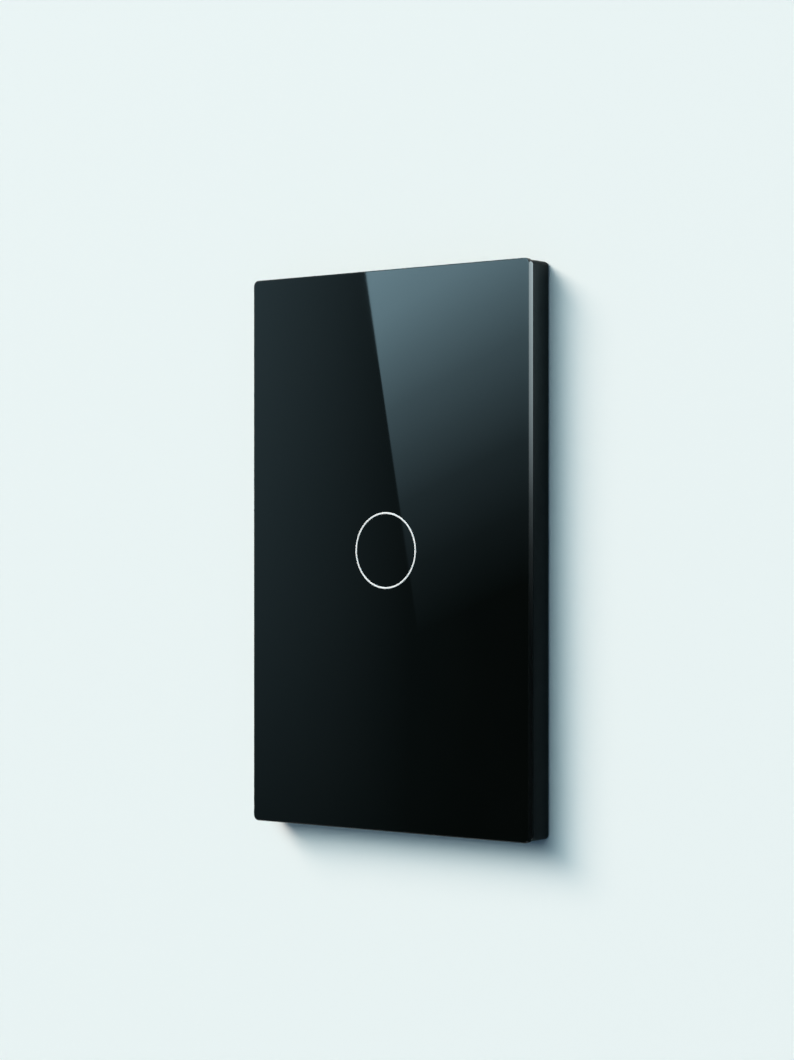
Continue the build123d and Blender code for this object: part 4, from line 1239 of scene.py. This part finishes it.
def wall_mesh():
    """A plane with a hole for the wall box, its face towards the room."""
    mesh = bmesh.new()
    outer = [(WALL_HALF, 2 * WALL_HALF), (-WALL_HALF, 2 * WALL_HALF),
             (-WALL_HALF, FLOOR_DEPTH), (WALL_HALF, FLOOR_DEPTH)]
    hole = rounded_outline(*WALL_OPENING, 4 * MM, 4)
    fill_flat(mesh, [add_loop(mesh, outer, WALL_GAP), add_loop(mesh, hole, WALL_GAP)])
    for face in mesh.faces:
        if face.normal.y > 0:
            face.normal_flip()
    return mesh


stage_piece("wall", wall_mesh(), wall_finish())
floor_mesh = bmesh.new()
floor_mesh.faces.new([floor_mesh.verts.new((x * WALL_HALF, y * FLOOR_HALF, FLOOR_DEPTH))
                      for x, y in ((-1, -1), (1, -1), (1, 1), (-1, 1))])
floor_finish = new_finish("floor_pale", (0.60, 0.66, 0.67), 0.8)
paint(floor_finish, wander(floor_finish, 60.0), (0.59, 0.65, 0.66), (0.61, 0.67, 0.68))
floor = stage_piece("floor", floor_mesh, floor_finish)
# the floor is far below the photograph, so its bounce is kept off the wall's shadow
floor.visible_diffuse = False
print("wall and floor ready")

# %% [markdown]
# ## What a card is
# A studio lights an object with cards as much as with lamps. A card here is one plane that gives
# off light, and its tones follow its own width and height in a few nodes. It is never seen by the
# camera. Some cards only light, others are only mirrored.

# %% Cards
def card_math(material, operation, first, second):
    node = add_node(material, "ShaderNodeMath", operation=operation)
    for i, value in enumerate((first, second)):
        if isinstance(value, (int, float)):
            node.inputs[i].default_value = value
        else:
            wire(material, value, node.inputs[i])
    return node.outputs[0]


def tone_curve(material, value, stops):
    """A run of tones along a value: pairs of value and tone, joined by straight lines."""
    start, end = stops[0][0], stops[-1][0]
    peak = max(tone for _, tone in stops)
    share = spread(material, value, 0.0, 1.0, start, end)
    ramp = add_node(material, "ShaderNodeValToRGB")
    points = ramp.color_ramp.elements
    for i, (at, tone) in enumerate(stops):
        place_at = (at - start) / (end - start)
        point = points[i] if i < 2 else points.new(place_at)
        point.position = place_at
        point.color = (tone / peak, tone / peak, tone / peak, 1.0)
    wire(material, share, ramp.inputs["Fac"])
    return card_math(material, "MULTIPLY", ramp.outputs["Color"], peak)


def card_finish(name, colour, strength_of):
    """A lit card: its strength is worked out from its own width and height."""
    material = new_finish(name, (0, 0, 0), 1.0)
    nodes = material.node_tree.nodes
    lit = add_node(material, "ShaderNodeEmission", Color=(*colour, 1.0))
    point = add_node(material, "ShaderNodeSeparateXYZ")
    wire(material, place(material), point.inputs["Vector"])
    strength = strength_of(material, point.outputs["X"], point.outputs["Z"])
    wire(material, strength, lit.inputs["Strength"])
    wire(material, lit.outputs[0], nodes["Material Output"].inputs["Surface"])
    nodes.remove(shader_of(material))
    return material


def oblong(left, bottom, right, top):
    """The corners of an upright rectangle."""
    return ((left, bottom), (right, bottom), (right, top), (left, top))


def upright_card(name, corners, y, material, mirrored):
    """A card parallel to the wall, either mirrored only or giving light only."""
    mesh = bmesh.new()
    mesh.faces.new(add_loop(mesh, corners, y))
    piece = stage_piece(name, mesh, material)
    piece.visible_camera = False
    piece.visible_transmission = False
    piece.visible_shadow = False
    piece.visible_volume_scatter = False
    piece.visible_diffuse = not mirrored
    piece.visible_glossy = mirrored
    return piece


print("card helpers ready")

# %% [markdown]
# ## The key light
# The photograph's shadow runs right and down, dark at the panel and fading over 17 mm, and both
# its ends are cut off at a slant. A round lamp would blur those ends. A large far card keeps them,
# because the shadow's ends run along the card's own edges. The card hangs up and to the left, and
# its corners are given by how far they lie to the side and up for each metre out from the wall.
# The shadow is bluer than the wall: its soft edge is lit by the card's near end only, so that end
# is cooler and the far end warmer, and together they are white.

# %% Key light
KEY_FAR = 18.0
KEY_STRENGTH = 0.958
KEY_COOL = (0.703, 0.894, 0.922)
KEY_WARM = (1.191, 0.917, 0.791)
KEY_CORNERS = ((0.0, 0.0), (2.3, 1.28), (1.9, 2.25), (-0.66, 0.2))
KEY_TONES = ((2.3, 11.0), (1.2, 12.5), (0.9, 12.4), (0.65, 10.0), (0.39, 7.2), (0.0, 3.5),
             (-0.66, 1.5))


def key_tone(material, x, z):
    stops = [(-left * KEY_FAR, tone * KEY_STRENGTH) for left, tone in KEY_TONES]
    return tone_curve(material, x, stops)


key_corners = [(-left * KEY_FAR, up * KEY_FAR) for left, up in KEY_CORNERS]
key_light = card_finish("key_light", KEY_COOL, key_tone)
point = add_node(key_light, "ShaderNodeSeparateXYZ")
wire(key_light, place(key_light), point.inputs["Vector"])
warmth = spread(key_light, point.outputs["X"], 1.0, 0.0, -KEY_FAR, 0.0)
wire(key_light, blend_colours(key_light, warmth, KEY_COOL, KEY_WARM),
     key_light.node_tree.nodes["Emission"].inputs["Color"])
upright_card("key_card", key_corners, -KEY_FAR, key_light, False)
print("key card", [tuple(round(c, 1) for c in corner) for corner in key_corners])

# %% [markdown]
# ## The lamp behind the wall
# The key card's light never reaches the box in the wall. The wall is clear from behind, so one
# lamp high behind it lights the housing and the steel plate. It is 5 m wide and weak, because a
# small strong one would leave a white patch in the zinc.

# %% Rear lamp
rear_data = bpy.data.lights.new("rear_fill", "AREA")
rear_data.size = 5.0
rear_data.energy = 70.0
rear_fill = bpy.data.objects.new("rear_fill", rear_data)
rear_fill.location = (1.5, 3.2, 2.0)
rear_fill.rotation_euler = (-rear_fill.location).to_track_quat("-Z", "Y").to_euler()
scene.collection.objects.link(rear_fill)
print("rear lamp", rear_data.size, "m wide,", rear_data.energy, "W")

# %% [markdown]
# ## The sky
# A weak light from all round fills the shadow, a little blue as in the photograph. One colour
# could not be that and a pale backdrop too, so the world has two: the camera, mirrors and clear
# parts see the wall's own colour, and all other rays get the sky.

# %% Sky
world = bpy.data.worlds.new("studio")
world.use_nodes = True
scene.world = world
sky = world.node_tree.nodes["Background"]
sky.inputs["Color"].default_value = (0.50, 0.86, 1.30, 1.0)
sky.inputs["Strength"].default_value = 0.11
backdrop = add_node(world, "ShaderNodeBackground", Color=(*WALL_COLOUR, 1.0), Strength=1.0)
rays = add_node(world, "ShaderNodeLightPath")
either = add_node(world, "ShaderNodeMath", operation="ADD")
any_ray = add_node(world, "ShaderNodeMath", operation="ADD", use_clamp=True)
choose_sky = add_node(world, "ShaderNodeMixShader")
wire(world, rays.outputs["Is Camera Ray"], either.inputs[0])
wire(world, rays.outputs["Is Glossy Ray"], either.inputs[1])
wire(world, either.outputs[0], any_ray.inputs[0])
wire(world, rays.outputs["Is Transmission Ray"], any_ray.inputs[1])
wire(world, any_ray.outputs[0], choose_sky.inputs[0])
wire(world, sky.outputs[0], choose_sky.inputs[1])
wire(world, backdrop.outputs[0], choose_sky.inputs[2])
wire(world, choose_sky.outputs[0], world.node_tree.nodes["World Output"].inputs["Surface"])
print("sky nodes:", len(world.node_tree.nodes))

# %% [markdown]
# ## What the glass mirrors
# Black glass shows the studio more than itself: in the photograph a soft light with a slanted left
# side fades down the face. A photographer would hang a lit card, so one hangs here, seen in
# reflections only. Its tones follow its own height and width, in a few nodes. The soft light
# brightens upwards and leans with the card's width, and a faint haze fades out to the right.

# %% The card in front
CARD_Y = -0.6
CARD_LEFT, CARD_RIGHT = -0.56, -0.38
LEAN = 0.41
SLANT_X = -0.4554
SLANT_Z = 0.021
SLANT = -0.1838
SLANT_BLUR = 0.0002
SOFT_TONES = ((0.14, 0.0), (0.175, 0.12), (0.2104, 0.38), (0.2358, 0.85), (0.2612, 1.42),
              (0.2866, 2.4), (0.312, 3.55), (0.35, 4.6))
HAZE_TONES = ((-0.56, 1.0), (-0.50, 0.56), (-0.45, 0.15), (-0.41, 0.05), (-0.38, 0.02))
HAZE_RISE, HAZE_START = 1.75, 0.40
HAZE_LOW, HAZE_HIGH = 0.05, 0.8


def front_card_tone(material, x, z):
    """The soft light right of the slant, and the faint haze that fades to the right."""
    def card(operation, first, second):
        return card_math(material, operation, first, second)

    kept_x = card("MINIMUM", card("MAXIMUM", x, CARD_LEFT), CARD_RIGHT)
    soft = tone_curve(material, card("SUBTRACT", z, card("MULTIPLY", kept_x, LEAN)), SOFT_TONES)
    slanted = card("ADD", card("MULTIPLY", card("SUBTRACT", z, SLANT_Z), SLANT), SLANT_X)
    beyond = card("SUBTRACT", x, slanted)
    right = spread(material, beyond, 0.0, 1.0, -SLANT_BLUR, SLANT_BLUR)
    across = tone_curve(material, kept_x, HAZE_TONES)
    height = card("MAXIMUM", card("ADD", card("MULTIPLY", z, HAZE_RISE), HAZE_START), HAZE_LOW)
    haze = card("MULTIPLY", across, card("MINIMUM", height, HAZE_HIGH))
    return card("ADD", card("MULTIPLY", soft, right), haze)


front_light = card_finish("front_card_light", (0.61, 1.0, 1.18), front_card_tone)
upright_card("front_card", oblong(-1.6, -0.9, 1.6, 0.9), CARD_Y, front_light, True)
print("front card ready")

# %% [markdown]
# ## The light in the ground edge
# The polished edge shows a bright line that fades down the side. It mirrors what lies just beside
# the panel, so a second narrow card stands there, a hair off the wall, also seen in reflections
# only. A third one under the panel keeps the edge's lower corner dark, as in the photograph.

# %% The cards beside the panel
EDGE_TONES = ((-0.02, 0.03), (-0.01, 0.10), (0.0, 0.27), (0.0107, 0.82), (0.021, 2.2),
              (0.0315, 3.7), (0.042, 4.8), (0.052, 6.0), (0.0605, 7.0))
EDGE_CARD_Y = -0.1 * MM
EDGE_CARD_HALF = 0.065
EDGE_CARD_BOTTOM = -0.12


def edge_card_tone(material, x, z):
    return tone_curve(material, z, EDGE_TONES)


edge_light = card_finish("edge_card_light", (0.80, 1.0, 1.06), edge_card_tone)
near, far = PANEL[0] / 2 + 4.0 * MM, PANEL[0] / 2 + 40 * MM
under = -PANEL[1] / 2 - 4.0 * MM
upright_card("edge_card_right", oblong(near, -EDGE_CARD_HALF, far, EDGE_CARD_HALF),
             EDGE_CARD_Y, edge_light, True)
upright_card("edge_card_low", oblong(-near, EDGE_CARD_BOTTOM, far, under),
             EDGE_CARD_Y, edge_light, True)
print("edge cards ready")
